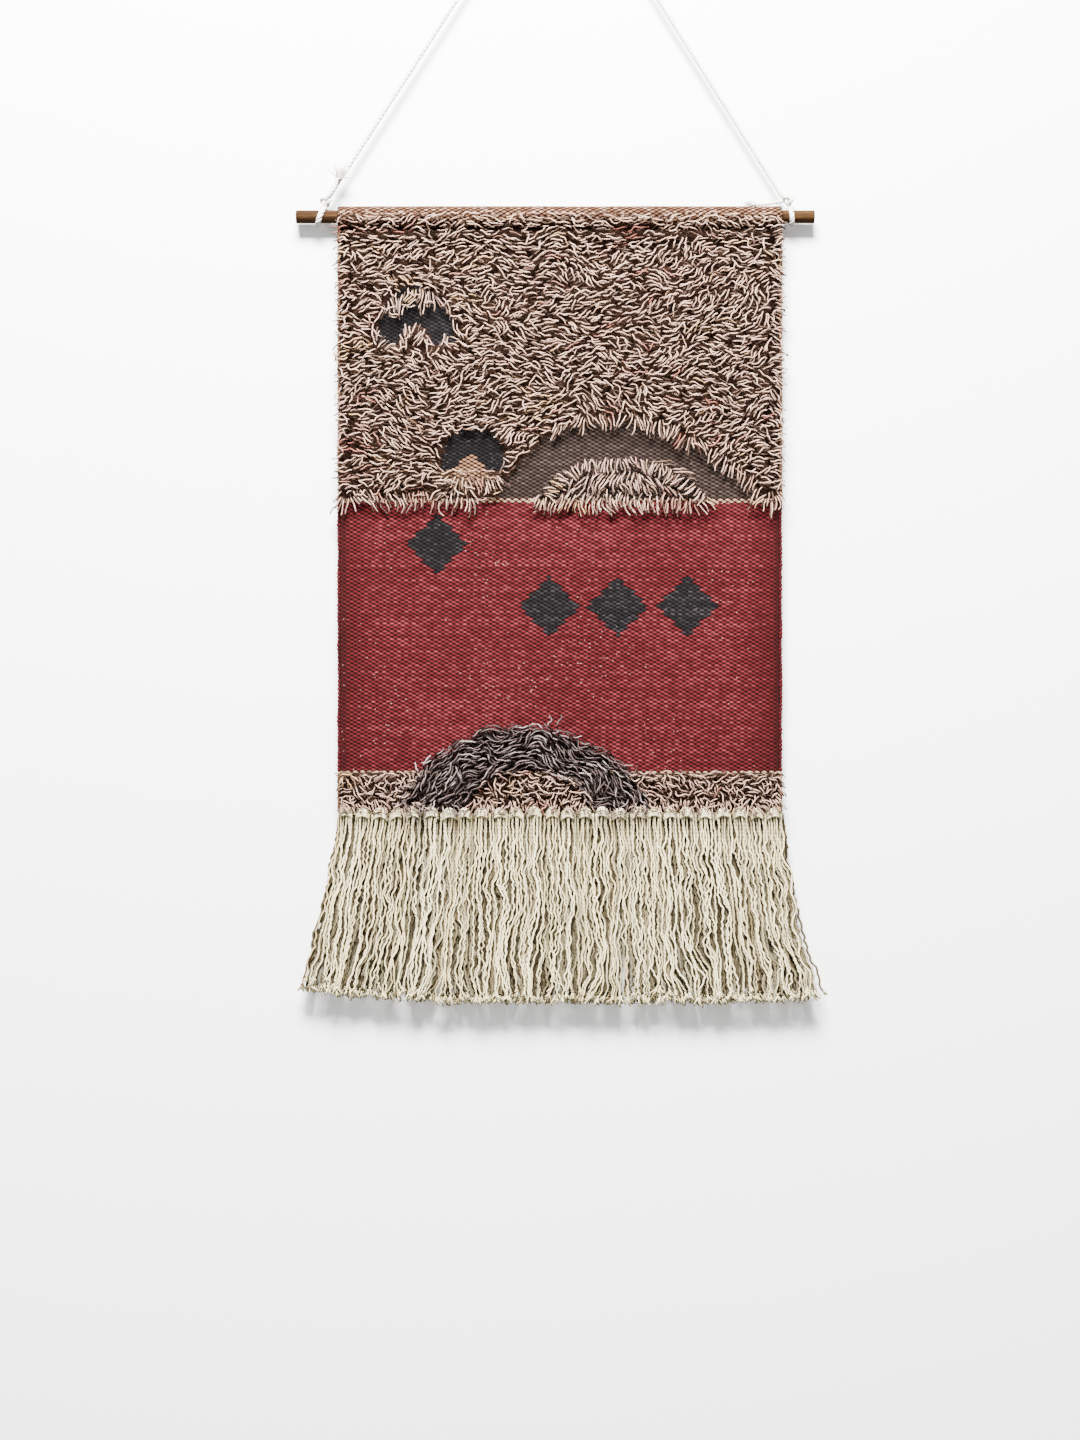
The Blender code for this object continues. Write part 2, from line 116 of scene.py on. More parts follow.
def make_camera():
    camera = bpy.data.objects.new("camera", bpy.data.cameras.new("camera"))
    camera.data.lens = CAMERA_LENS
    camera.location = (CAMERA_X, WEAVE_FRONT_Y - CAMERA_DISTANCE, CAMERA_Z)
    camera.rotation_euler = (math.pi / 2, 0.0, 0.0)
    bpy.context.scene.collection.objects.link(camera)
    bpy.context.scene.camera = camera


def plain_material(name, colour, roughness):
    material = bpy.data.materials.new(name)
    material.use_nodes = True
    shader = material.node_tree.nodes["Principled BSDF"]
    shader.inputs["Base Color"].default_value = (*colour, 1.0)
    shader.inputs["Roughness"].default_value = roughness
    return material


def wall_material():
    """Matt paint that is clear from behind, so that the back of the hanging can be seen."""
    paint = plain_material("wall_paint", (0.90, 0.90, 0.895), 0.9)
    nodes, links = paint.node_tree.nodes, paint.node_tree.links
    clear = nodes.new("ShaderNodeBsdfTransparent")
    side = nodes.new("ShaderNodeNewGeometry")
    mix = nodes.new("ShaderNodeMixShader")
    links.new(side.outputs["Backfacing"], mix.inputs["Fac"])
    links.new(nodes["Principled BSDF"].outputs["BSDF"], mix.inputs[1])
    links.new(clear.outputs["BSDF"], mix.inputs[2])
    links.new(mix.outputs["Shader"], nodes["Material Output"].inputs["Surface"])
    return paint


def add_plane(name, corners, material):
    """A flat part of the stage, which throws no light back at the hanging."""
    mesh = bpy.data.meshes.new(name)
    mesh.from_pydata(corners, [], [(0, 1, 2, 3)])
    mesh.materials.append(material)
    plane = bpy.data.objects.new(name, mesh)
    plane.visible_diffuse = False
    bpy.context.scene.collection.objects.link(plane)
    return plane


def make_stage():
    """A pale wall behind the hanging and a pale floor. The wall comes back, for its own light."""
    low, high = -STAGE_REACH, STAGE_REACH
    corners = [(low, WALL_Y, FLOOR_Z), (high, WALL_Y, FLOOR_Z), (high, WALL_Y, high), (low, WALL_Y, high)]
    wall = add_plane("wall", corners, wall_material())
    wall.visible_shadow = False
    wall.visible_glossy = False
    corners = [(low, low, FLOOR_Z), (high, low, FLOOR_Z), (high, high, FLOOR_Z), (low, high, FLOOR_Z)]
    floor = add_plane("floor", corners, plain_material("floor_paint", (0.86, 0.85, 0.83), 0.8))
    return wall


def add_area_light(name, place, size, power, colour=WHITE, only=None):
    light = bpy.data.lights.new(name, "AREA")
    light.shape = "RECTANGLE"
    light.size, light.size_y = size
    light.energy = power
    light.color = colour
    obj = bpy.data.objects.new(name, light)
    obj.location = place
    direction = Vector(LIGHT_AIM) - Vector(place)
    obj.rotation_euler = direction.to_track_quat("-Z", "Y").to_euler()
    bpy.context.scene.collection.objects.link(obj)
    if only:
        lit = bpy.data.collections.new(f"lit_by_{name}")
        lit.objects.link(only)
        obj.light_linking.receiver_collection = lit


def make_lights(wall):
    """Soft light from above and in front. A second light beside it only whitens the wall."""
    add_area_light("key", KEY_PLACE, KEY_SIZE, KEY_POWER, KEY_COLOUR)
    add_area_light("wall_wash", KEY_PLACE, KEY_SIZE, WASH_POWER, only=wall)
    add_area_light("fill", FILL_PLACE, FILL_SIZE, FILL_POWER, FILL_COLOUR)
    add_area_light("back_fill", BACK_PLACE, BACK_SIZE, BACK_POWER)
    world = bpy.data.worlds.new("studio")
    world.use_nodes = True
    background = world.node_tree.nodes["Background"]
    background.inputs["Color"].default_value = (*WORLD_COLOUR, 1.0)
    background.inputs["Strength"].default_value = WORLD_STRENGTH
    bpy.context.scene.world = world


# ---------------------------------------------------------------------------------------------
# Meshes and noise
# ---------------------------------------------------------------------------------------------
LATTICE = (97, 89)  # the noise's lattice steps across and down, after which it repeats
LATTICE_START = (31.7, 57.3)
# Painted shade down the sides of every yarn
SIDE_DARK = 0.04  # painted shade: how light a yarn's colour is where its surface faces the wall
SIDE_FALLOFF = 2.4


def smooth_noise(seed, x, z, size):
    """Smooth random values from -1 to 1 over the plane, whose bumps are about size across."""
    columns, rows = LATTICE
    lattice = np.random.default_rng(seed).uniform(-1.0, 1.0, LATTICE)
    u, v = x / size + LATTICE_START[0], z / size + LATTICE_START[1]
    i, j = np.floor(u).astype(int), np.floor(v).astype(int)
    s, t = u - i, v - j
    s, t = s * s * (3 - 2 * s), t * t * (3 - 2 * t)
    i0, i1, j0, j1 = i % columns, (i + 1) % columns, j % rows, (j + 1) % rows
    low = lattice[i0, j0] * (1 - s) + lattice[i1, j0] * s
    high = lattice[i0, j1] * (1 - s) + lattice[i1, j1] * s
    return low * (1 - t) + high * t


def unit(vectors):
    return vectors / np.maximum(np.linalg.norm(vectors, axis=-1, keepdims=True), 1e-12)


def build_mesh(name, points, faces):
    """A smooth mesh from an array of points and several arrays of faces, each (count, corners)."""
    mesh = bpy.data.meshes.new(name)
    mesh.vertices.add(len(points))
    mesh.vertices.foreach_set("co", np.ascontiguousarray(points, dtype=np.float32).ravel())
    corners = np.concatenate([f.ravel() for f in faces]).astype(np.int32)
    sizes = np.concatenate([np.full(len(f), f.shape[1]) for f in faces])
    mesh.loops.add(len(corners))
    mesh.loops.foreach_set("vertex_index", corners)
    mesh.polygons.add(len(sizes))
    starts = np.concatenate([[0], np.cumsum(sizes)[:-1]]).astype(np.int32)
    mesh.polygons.foreach_set("loop_start", starts)
    mesh.update(calc_edges=True)
    mesh.shade_smooth()
    return mesh


def tube_faces(rings, sides, flip=False):
    """The faces of a closed tube, whose points are in rings: round its side, then its two ends.

    flip turns them round, for rings that run the other way.
    """
    index = np.arange(rings * sides).reshape(rings, sides)
    after = np.roll(index, -1, axis=1)
    quads = np.stack([index[:-1], after[:-1], after[1:], index[1:]], axis=-1).reshape(-1, 4)
    if flip:
        return [quads[:, [0, 3, 2, 1]], index[:1], index[-1:, ::-1]]
    return [quads, index[:1, ::-1], index[-1:]]


def set_values(mesh, name, values, domain="POINT"):
    layer = mesh.attributes.new(name, "FLOAT", domain)
    layer.data.foreach_set("value", np.ascontiguousarray(values, dtype=np.float32).ravel())


def add_piece(name, mesh, material, body=None, nodes=()):
    """A piece of the looks, which rides on a body and shows in place of the nodes."""
    obj = bpy.data.objects.new(name, mesh)
    mesh.materials.append(material)
    bpy.context.scene.collection.objects.link(obj)
    if body:
        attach(obj, body)
    if nodes:
        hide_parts(*nodes)
    return obj


def painted_side_shade(facing):
    """Painted shade of a yarn's surface: full colour where it faces out of the pile, and dark down its
    sides.
    """
    return SIDE_DARK + (1 - SIDE_DARK) * facing**SIDE_FALLOFF


def yarn_mesh(name, paths, radii, tones, shades, sides=6, back_shades=None):
    """Closed round yarns. paths is (yarns, points, 3), and radii and shades are (yarns, points).

    Each point of the surface gets its yarn's tone and its painted shade, which is darkest down its sides.
    back_shades are the painted shade of the side that faces the wall, where they differ from the front's.
    """
    if back_shades is None:
        back_shades = shades
    count, steps, _ = paths.shape
    tangent = unit(np.gradient(paths, axis=1))
    normal = np.empty_like(paths)
    guess = np.where(np.abs(tangent[:, 0, 1:2]) > 0.8, [[0.0, 0.0, 1.0]], [[0.0, 1.0, 0.0]])
    normal[:, 0] = unit(np.cross(tangent[:, 0], guess))
    for j in range(1, steps):
        along = tangent[:, j]
        last = normal[:, j - 1]
        normal[:, j] = unit(last - along * np.sum(last * along, axis=-1, keepdims=True))
    other = np.cross(tangent, normal)
    angle = 2 * np.pi * np.arange(sides) / sides
    around = (
        np.cos(angle)[None, None, :, None] * normal[:, :, None]
        + np.sin(angle)[None, None, :, None] * other[:, :, None]
    )
    points = paths[:, :, None] + radii[:, :, None, None] * around
    index = np.arange(count * steps * sides).reshape(count, steps, sides)
    after = np.roll(index, -1, axis=2)
    quads = np.stack([index[:, :-1], after[:, :-1], after[:, 1:], index[:, 1:]], axis=-1)
    faces = [quads.reshape(-1, 4), index[:, 0, ::-1], index[:, -1]]
    mesh = build_mesh(name, points.reshape(-1, 3), faces)
    # painted shade: each yarn's colour darkens down its sides, by which way its surface faces
    facing = 0.5 - 0.5 * around[..., 1]
    front = shades[:, :, None] * painted_side_shade(facing)
    shade = np.maximum(front, back_shades[:, :, None] * painted_side_shade(1 - facing))
    set_values(mesh, "shade", shade)
    set_values(mesh, "tone", np.broadcast_to(tones[:, None, None], shade.shape))
    length = np.cumsum(np.linalg.norm(np.diff(paths, axis=1), axis=-1), axis=1)
    length = np.concatenate([np.zeros((count, 1)), length], axis=1)
    turn = np.stack([np.arange(sides), np.arange(sides) + 1], axis=-1) / sides
    u = np.broadcast_to(turn[:, [0, 1, 1, 0]], (count, steps - 1, sides, 4))
    v = np.stack([length[:, :-1], length[:, :-1], length[:, 1:], length[:, 1:]], axis=-1)
    v = np.broadcast_to(v[:, :, None], u.shape)
    ends = np.zeros((2 * count * sides, 2))
    ends[count * sides :, 1] = np.repeat(length[:, -1], sides)
    uv = np.concatenate([np.stack([u, v], axis=-1).reshape(-1, 2), ends])
    layer = mesh.uv_layers.new(name="yarn")
    layer.data.foreach_set("uv", uv.astype(np.float32).ravel())
    return mesh


def join_meshes(parts):
    """One mesh of several yarn meshes, keeping their attributes."""
    objects = []
    for mesh in parts:
        obj = bpy.data.objects.new(mesh.name, mesh)
        bpy.context.scene.collection.objects.link(obj)
        objects.append(obj)
    with bpy.context.temp_override(active_object=objects[0], selected_editable_objects=objects):
        bpy.ops.object.join()
    mesh = objects[0].data
    bpy.data.objects.remove(objects[0])
    return mesh


def inside(outline, x, z):
    """Whether each point is inside the closed outline."""
    corners = np.asarray(outline)
    result = np.zeros(x.shape, dtype=bool)
    for (x1, z1), (x2, z2) in zip(corners, np.roll(corners, -1, axis=0), strict=True):
        crosses = (z1 > z) != (z2 > z)
        with np.errstate(divide="ignore", invalid="ignore"):
            at = x1 + (z - z1) * (x2 - x1) / (z2 - z1)
        result ^= crosses & (x < at)
    return result


def depth_inside(outline, x, z):
    """How far each point is inside the closed outline: negative outside."""
    corners = np.asarray(outline)
    nearest = np.full(x.shape, np.inf)
    for (x1, z1), (x2, z2) in zip(corners, np.roll(corners, -1, axis=0), strict=True):
        dx, dz = x2 - x1, z2 - z1
        t = np.clip(((x - x1) * dx + (z - z1) * dz) / max(dx * dx + dz * dz, 1e-12), 0, 1)
        nearest = np.minimum(nearest, np.hypot(x - x1 - t * dx, z - z1 - t * dz))
    return np.where(inside(outline, x, z), nearest, -nearest)


def along_outline(outline, spacing, rng):
    """Points along an open outline about spacing apart, each with the angle of its stretch."""
    corners = np.asarray(outline)
    steps = np.linalg.norm(np.diff(corners, axis=0), axis=1)
    total = steps.sum()
    even = np.arange(0, total, spacing)
    at = even + rng.uniform(-0.3, 0.3, len(even)) * spacing
    reach = np.concatenate([[0], np.cumsum(steps)])
    x = np.interp(at, reach, corners[:, 0])
    z = np.interp(at, reach, corners[:, 1])
    which = np.clip(np.searchsorted(reach, at) - 1, 0, len(steps) - 1)
    stretch = np.diff(corners, axis=0)[which]
    return x, z, np.arctan2(stretch[:, 1], stretch[:, 0])


def smooth_outline(points, steps=6):
    """A Catmull-Rom curve through the points."""
    padded = np.asarray([points[0], *points, points[-1]], dtype=float)
    t = (np.arange(steps) / steps)[:, None]
    curve = []
    for p, q, r, s in zip(padded, padded[1:], padded[2:], padded[3:], strict=False):
        bend = (2 * p - 5 * q + 4 * r - s) * t**2 + (3 * q - p - 3 * r + s) * t**3
        curve.append(0.5 * (2 * q + (r - p) * t + bend))
    return np.concatenate([*curve, padded[-1:]])


# ---------------------------------------------------------------------------------------------
# Materials
# ---------------------------------------------------------------------------------------------
SPECULAR = 0.08  # of dry wool, cotton and matt wood
YARN_ROUGHNESS = 0.92
CLOTH_ROUGHNESS = 0.95
FIBRE_SCALE = 1500.0
YARN_FLECK = 0.25  # how far the fibres vary a yarn's tone
CLOTH_FLECK = 0.4
PLY_GROOVE_SHADE = 0.3  # painted shade: how much darker a yarn is between its plies
FIBRE_RELIEF = 0.0004


class Nodes:
    """A material's node tree, with short calls for the nodes that several materials share."""

    def __init__(self, name, roughness):
        self.material = bpy.data.materials.new(name)
        self.material.use_nodes = True
        self.tree = self.material.node_tree
        self.shader = self.tree.nodes["Principled BSDF"]
        self.shader.inputs["Roughness"].default_value = roughness
        self.shader.inputs["Specular IOR Level"].default_value = SPECULAR

    def new(self, kind, **settings):
        node = self.tree.nodes.new(kind)
        for key, value in settings.items():
            setattr(node, key, value)
        return node

    def link(self, source, target):
        self.tree.links.new(source, target)

    def attribute(self, name):
        return self.new("ShaderNodeAttribute", attribute_name=name).outputs["Fac"]

    def math(self, operation, a, b=0.0, clamp=False):
        node = self.new("ShaderNodeMath", operation=operation, use_clamp=clamp)
        for socket, value in zip(node.inputs, (a, b), strict=False):
            if isinstance(value, float):
                socket.default_value = value
            else:
                self.link(value, socket)
        return node.outputs[0]

    def ramp(self, factor, stops):
        node = self.new("ShaderNodeValToRGB")
        elements = node.color_ramp.elements
        while len(elements) < len(stops):
            elements.new(0.5)
        for element, (place, colour) in zip(elements, stops, strict=True):
            element.position = place
            element.color = (*colour, 1.0)
        self.link(factor, node.inputs["Fac"])
        return node.outputs["Color"]

    def mix(self, factor, a, b):
        node = self.new("ShaderNodeMix", data_type="RGBA")
        for number, value in ((0, factor), (6, a), (7, b)):
            socket = node.inputs[number]
            if isinstance(value, tuple):
                socket.default_value = (*value, 1.0)
            else:
                self.link(value, socket)
        return node.outputs[2]

    def noise(self, scale, detail=2.0, stretch=(1.0, 1.0, 1.0)):
        place = self.new("ShaderNodeTexCoord").outputs["Object"]
        mapping = self.new("ShaderNodeMapping")
        mapping.inputs["Scale"].default_value = stretch
        self.link(place, mapping.inputs["Vector"])
        node = self.new("ShaderNodeTexNoise")
        node.inputs["Scale"].default_value = scale
        node.inputs["Detail"].default_value = detail
        self.link(mapping.outputs["Vector"], node.inputs["Vector"])
        return node.outputs["Fac"]

    def bump(self, height, strength, distance):
        node = self.new("ShaderNodeBump")
        node.inputs["Strength"].default_value = strength
        node.inputs["Distance"].default_value = distance
        self.link(height, node.inputs["Height"])
        self.link(node.outputs["Normal"], self.shader.inputs["Normal"])

    def colour(self, source):
        self.link(source, self.shader.inputs["Base Color"])


def yarn_material(name, stops, dark, twist=0.006, plies=2.0):
    """Spun yarn. Its tone runs through the stops, and its painted shade from dark to the tone's colour.

    twist is the length in which a ply goes once round.
    """
    nodes = Nodes(name, YARN_ROUGHNESS)
    fibre = nodes.noise(FIBRE_SCALE, 3.0)
    tone = nodes.math("ADD", nodes.attribute("tone"), nodes.math("MULTIPLY", fibre, YARN_FLECK))
    tone = nodes.math("SUBTRACT", tone, YARN_FLECK / 2, clamp=True)
    bright = nodes.ramp(tone, stops)
    uv = nodes.new("ShaderNodeUVMap", uv_map="yarn")
    split = nodes.new("ShaderNodeSeparateXYZ")
    nodes.link(uv.outputs["UV"], split.inputs[0])
    turns = nodes.math("MULTIPLY", split.outputs["X"], plies)
    phase = nodes.math("ADD", turns, nodes.math("MULTIPLY", split.outputs["Y"], plies / twist))
    wave = nodes.math("SINE", nodes.math("MULTIPLY", phase, 2 * math.pi))
    groove = nodes.math("MULTIPLY", nodes.math("ADD", wave, 1.0), 0.5)
    # painted shade in the grooves between the plies
    ply = nodes.math("ADD", nodes.math("MULTIPLY", groove, PLY_GROOVE_SHADE), 1 - PLY_GROOVE_SHADE)
    # painted shade: the shade attribute mixes each yarn from its dark colour to its tone
    shade = nodes.math("MULTIPLY", nodes.attribute("shade"), ply)
    nodes.colour(nodes.mix(shade, dark, bright))
    nodes.bump(nodes.math("ADD", groove, nodes.math("MULTIPLY", fibre, 0.6)), 0.6, FIBRE_RELIEF)
    return nodes.material


def weave_material(name, stops, furrow, fleck_colour):
    """Weft-faced cloth: beads of yarn whose tone runs through the stops, painted shade between them, and
    lint.
    """
    nodes = Nodes(name, CLOTH_ROUGHNESS)
    fibre = nodes.noise(1400.0, 3.0, (0.5, 1.0, 1.4))
    tone = nodes.math("ADD", nodes.attribute("tone"), nodes.math("MULTIPLY", fibre, CLOTH_FLECK))
    tone = nodes.math("SUBTRACT", tone, CLOTH_FLECK / 2, clamp=True)
    crest = nodes.attribute("crest")
    # painted shade: the crest attribute mixes to the furrow colour in the gaps between beads
    yarn = nodes.mix(crest, furrow, nodes.ramp(tone, stops))
    nodes.colour(nodes.mix(nodes.attribute("fleck"), yarn, fleck_colour))
    nodes.bump(fibre, 0.5, FIBRE_RELIEF)
    return nodes.material


def wood_material(name, stops, roughness):
    """Stained wood with its grain along X."""
    nodes = Nodes(name, roughness)
    grain = nodes.noise(260.0, 6.0, (0.06, 1.0, 1.0))
    pores = nodes.noise(1500.0, 2.0, (0.05, 1.0, 1.0))
    mixed = nodes.math("ADD", nodes.math("MULTIPLY", grain, 0.7), nodes.math("MULTIPLY", pores, 0.3))
    spread = nodes.math("MULTIPLY", nodes.math("SUBTRACT", mixed, 0.5), 2.2)
    nodes.colour(nodes.ramp(nodes.math("ADD", spread, 0.5, clamp=True), stops))
    nodes.bump(mixed, 0.35, 0.0006)
    return nodes.material


# Colours: the stops of each material's tone, as (place, colour), and the colour of its painted shade.
# FLECK is the colour of lint on a weave.
ROSE_STOPS = (
    (0.0, (0.30, 0.098, 0.071)),
    (0.3, (0.53, 0.315, 0.236)),
    (0.62, (0.68, 0.452, 0.345)),
    (1.0, (0.62, 0.372, 0.195)),
)
ROSE_DARK = (0.0028, 0.0010, 0.0006)
DARK_STOPS = ((0.0, (0.028, 0.018, 0.0165)), (0.5, (0.150, 0.108, 0.103)), (1.0, (0.58, 0.47, 0.445)))
DARK_DARK = (0.0010, 0.0005, 0.0004)
CREAM_STOPS = ((0.0, (0.66, 0.49, 0.235)), (0.5, (0.94, 0.79, 0.44)), (1.0, (0.98, 0.89, 0.56)))
CREAM_DARK = (0.010, 0.0052, 0.0018)
COTTON_STOPS = ((0.0, (0.88, 0.86, 0.82)), (1.0, (0.96, 0.95, 0.92)))
COTTON_DARK = (0.36, 0.33, 0.29)
RED_STOPS = ((0.0, (0.024, 0.0008, 0.0011)), (0.5, (0.066, 0.0052, 0.0070)), (1.0, (0.27, 0.040, 0.049)))
RED_FURROW = (0.0012, 0.00004, 0.00006)
BROWN_STOPS = ((0.0, (0.0075, 0.0042, 0.0034)), (0.5, (0.025, 0.0155, 0.0126)), (1.0, (0.102, 0.07, 0.059)))
BROWN_FURROW = (0.0006, 0.0003, 0.0002)
CHARCOAL_STOPS = (
    (0.0, (0.0013, 0.001, 0.0011)),
    (0.5, (0.006, 0.0047, 0.0054)),
    (1.0, (0.05, 0.042, 0.046)),
)
CHARCOAL_FURROW = (0.0002, 0.00016, 0.00016)
CHARCOAL_FLECK = (0.08, 0.076, 0.076)
RED_FLECK = (0.30, 0.15, 0.14)
BROWN_FLECK = (0.15, 0.11, 0.095)
TAN_FLECK = (0.34, 0.24, 0.185)
TAN_STOPS = ((0.0, (0.085, 0.034, 0.016)), (0.5, (0.185, 0.096, 0.052)), (1.0, (0.40, 0.245, 0.165)))
TAN_FURROW = (0.0060, 0.0020, 0.0009)
WALNUT_STOPS = ((0.0, (0.012, 0.005, 0.002)), (0.5, (0.03, 0.013, 0.006)), (1.0, (0.06, 0.029, 0.014)))
DOWEL_STOPS = (
    (0.0, (0.0048, 0.0016, 0.0003)),
    (0.5, (0.0195, 0.0082, 0.0019)),
    (1.0, (0.06, 0.028, 0.0073)),
)
THREAD_STOPS = ((0.0, (0.25, 0.21, 0.16)), (1.0, (0.35, 0.31, 0.25)))
THREAD_DARK = (0.05, 0.035, 0.025)

ROSE_YARN = yarn_material("rose_yarn", ROSE_STOPS, ROSE_DARK)
DARK_YARN = yarn_material("dark_yarn", DARK_STOPS, DARK_DARK)
CREAM_YARN = yarn_material("cream_yarn", CREAM_STOPS, CREAM_DARK, twist=0.009)
COTTON = yarn_material("cotton", COTTON_STOPS, COTTON_DARK, twist=0.004, plies=3.0)
THREAD = yarn_material("sewing_thread", THREAD_STOPS, THREAD_DARK, twist=0.002)
WEAVES = {
    "red_weave": weave_material("red_cloth", RED_STOPS, RED_FURROW, RED_FLECK),
    "brown_weave": weave_material("brown_cloth", BROWN_STOPS, BROWN_FURROW, BROWN_FLECK),
    "charcoal_weave": weave_material("charcoal_cloth", CHARCOAL_STOPS, CHARCOAL_FURROW, CHARCOAL_FLECK),
    "tan_weave": weave_material("tan_cloth", TAN_STOPS, TAN_FURROW, TAN_FLECK),
}

# ---------------------------------------------------------------------------------------------
# The hanging cord, which comes before everything else
# ---------------------------------------------------------------------------------------------
PLY_SIDES = 8
PLY_SHARE = 0.54  # a ply's radius, as a share of its rope's
FIBRE_RADIUS = 0.00045
# The left and the right hitch: how far the turn leans, sits to the right and advances, and its thickness
HITCH_LEAN = (-0.0075, 0.003)
HITCH_SHIFT = (0.0, 0.0014)
HITCH_ADVANCE = (0.0035, 0.0018)
HITCH_THICKNESS = (1.35, 1.16)
HITCH_START = 60  # degrees round the dowel
HITCH_TURN = 420
HITCH_STEPS = 60
KNOT_STEPS = 72
KNOT_ROPE_RADIUS = 0.0019
RIGHT_KNOT_SHIFT = Vector((0.0032, 0.0, 0.0012))
TAIL_RADIUS = 0.0020
TAIL_PITCH = 0.012


def knot_centre(side):
    height = ROD_Z + ROD_RADIUS + 2 * CORD_RADIUS + 2 * GAP + KNOT_SIZE.z
    return Vector((KNOT_X[side], HANG_Y, height))


def peg_tangent(point, side):
    """Where the cord from this point first meets its path round the peg. side is -1 left, 1 right."""
    radius = PEG_SHAFT_RADIUS + GAP + CORD_RADIUS
    angle = math.atan2(point.z, point.x) + side * math.acos(radius / math.hypot(point.x, point.z))
    return angle, Vector((radius * math.cos(angle), HANG_Y, radius * math.sin(angle)))


def straight_run(start, end, step):
    count = max(1, round((end - start).length / step))
    return [start.lerp(end, i / count) for i in range(count)]


def hanging_cord_points():
    """Left knot, up to the peg, over it, and down to the right knot."""
    radius = PEG_SHAFT_RADIUS + GAP + CORD_RADIUS
    clear = max(KNOT_SIZE) + GAP
    left, right = knot_centre(0), knot_centre(1)
    left_angle, left_touch = peg_tangent(left, -1)
    right_angle, right_touch = peg_tangent(right, 1)
    left_angle %= 2 * math.pi
    right_angle %= 2 * math.pi
    start = left + (left_touch - left).normalized() * clear
    end = right + (right_touch - right).normalized() * clear
    over = []
    for i in range(CORD_ARC_STEPS + 1):
        angle = left_angle + (right_angle - left_angle) * i / CORD_ARC_STEPS
        over.append(Vector((radius * math.cos(angle), HANG_Y, radius * math.sin(angle))))
    up = straight_run(start, left_touch, CORD_STEP)
    down = straight_run(end, right_touch, CORD_STEP)
    return up + over + down[::-1]


def resample(points, step):
    """The same route with its points evenly spaced."""
    points = np.asarray([tuple(p) for p in points])
    reach = np.concatenate([[0], np.cumsum(np.linalg.norm(np.diff(points, axis=0), axis=1))])
    at = np.linspace(0, reach[-1], max(8, round(reach[-1] / step) + 1))
    return np.stack([np.interp(at, reach, points[:, i]) for i in range(3)], axis=-1)


def rope_mesh(name, points, radius, step=0.0016, pitch=0.016, shade=1.0):
    """A laid rope: three plies wound round the route."""
    plies = 3
    route = resample(points, step)
    tangent = unit(np.gradient(route, axis=0))
    normal = np.empty_like(route)
    guess = (0.0, 0.0, 1.0) if abs(tangent[0, 1]) > 0.8 else (0.0, 1.0, 0.0)
    normal[0] = unit(np.cross(tangent[0], guess))
    for i in range(1, len(route)):
        last = normal[i - 1]
        normal[i] = unit(last - tangent[i] * np.dot(last, tangent[i]))
    other = np.cross(tangent, normal)
    length = np.arange(len(route)) * np.linalg.norm(route[1] - route[0])
    ply_radius = radius * PLY_SHARE
    paths = []
    for ply in range(plies):
        angle = (2 * np.pi * (length / pitch + ply / plies))[:, None]
        offset = (radius - ply_radius) * (np.cos(angle) * normal + np.sin(angle) * other)
        paths.append(route + offset)
    paths = np.stack(paths)
    radii = np.full(paths.shape[:2], ply_radius)
    shades = np.full(paths.shape[:2], shade)
    tones = np.linspace(0.4, 0.7, plies)
    return yarn_mesh(name, paths, radii, tones, shades, PLY_SIDES)


def fray(name, base, direction, count, length, spread, seed):
    """A brush of loose fibres from a cut rope end."""
    rng = np.random.default_rng(seed)
    direction = np.asarray(direction, dtype=float)
    steps = 7
    t = np.linspace(0, 1, steps)[None, :, None]
    heading = unit(direction + rng.normal(0, spread, (count, 3)) * [1.0, 0.45, 1.0])
    bend = rng.normal(0, 0.35, (count, 3)) * [1.0, 0.4, 1.0]
    reach = length * rng.uniform(0.6, 1.0, (count, 1, 1))
    start = np.asarray(base) + rng.normal(0, 0.0008, (count, 3)) * [1.0, 0.5, 1.0]
    path = start[:, None] + reach * (t * heading[:, None] + t * t * bend[:, None] * 0.6)
    radii = np.broadcast_to(FIBRE_RADIUS * (1.1 - 0.5 * t[..., 0]), (count, steps)).copy()
    # painted shade: the fibres are darker where they leave the rope
    shades = np.broadcast_to(0.75 + 0.25 * t[..., 0], (count, steps)).copy()
    return yarn_mesh(name, path, radii, rng.uniform(0.3, 1.0, count), shades, 5)


def hitch_route(side):
    """The turn of cord round the dowel: one and a bit turns of a helix, from the knot and back to it."""
    radius = ROD_RADIUS + CORD_RADIUS * 0.8
    lean = HITCH_LEAN[side]
    centre_x = LOOP_X[side] + HITCH_SHIFT[side] - lean * 0.5
    route = []
    for i in range(HITCH_STEPS + 1):
        share = i / HITCH_STEPS
        angle = math.radians(HITCH_START + HITCH_TURN * share)
        swing = lean * (0.5 - 0.5 * math.cos(2 * math.pi * share)) * 0.9
        x = centre_x + swing + (share - 0.5) * HITCH_ADVANCE[side]
        route.append((x, HANG_Y - radius * math.cos(angle), ROD_Z + radius * math.sin(angle)))
    return route


def knot_route(centre, size):
    """A small overhand knot as a trefoil."""
    points = []
    for i in range(KNOT_STEPS + 1):
        t = 2 * math.pi * i / KNOT_STEPS
        x = (math.sin(t) + 2 * math.sin(2 * t)) / 3
        z = (math.cos(t) - 2 * math.cos(2 * t)) / 3
        y = -math.sin(3 * t)
        points.append((centre.x + size.x * x, centre.y + size.y * 0.62 * y, centre.z + size.z * z))
    return points


def add_cord_part(name, mesh, node):
    return add_piece(name, mesh, COTTON, "suspension", [node])


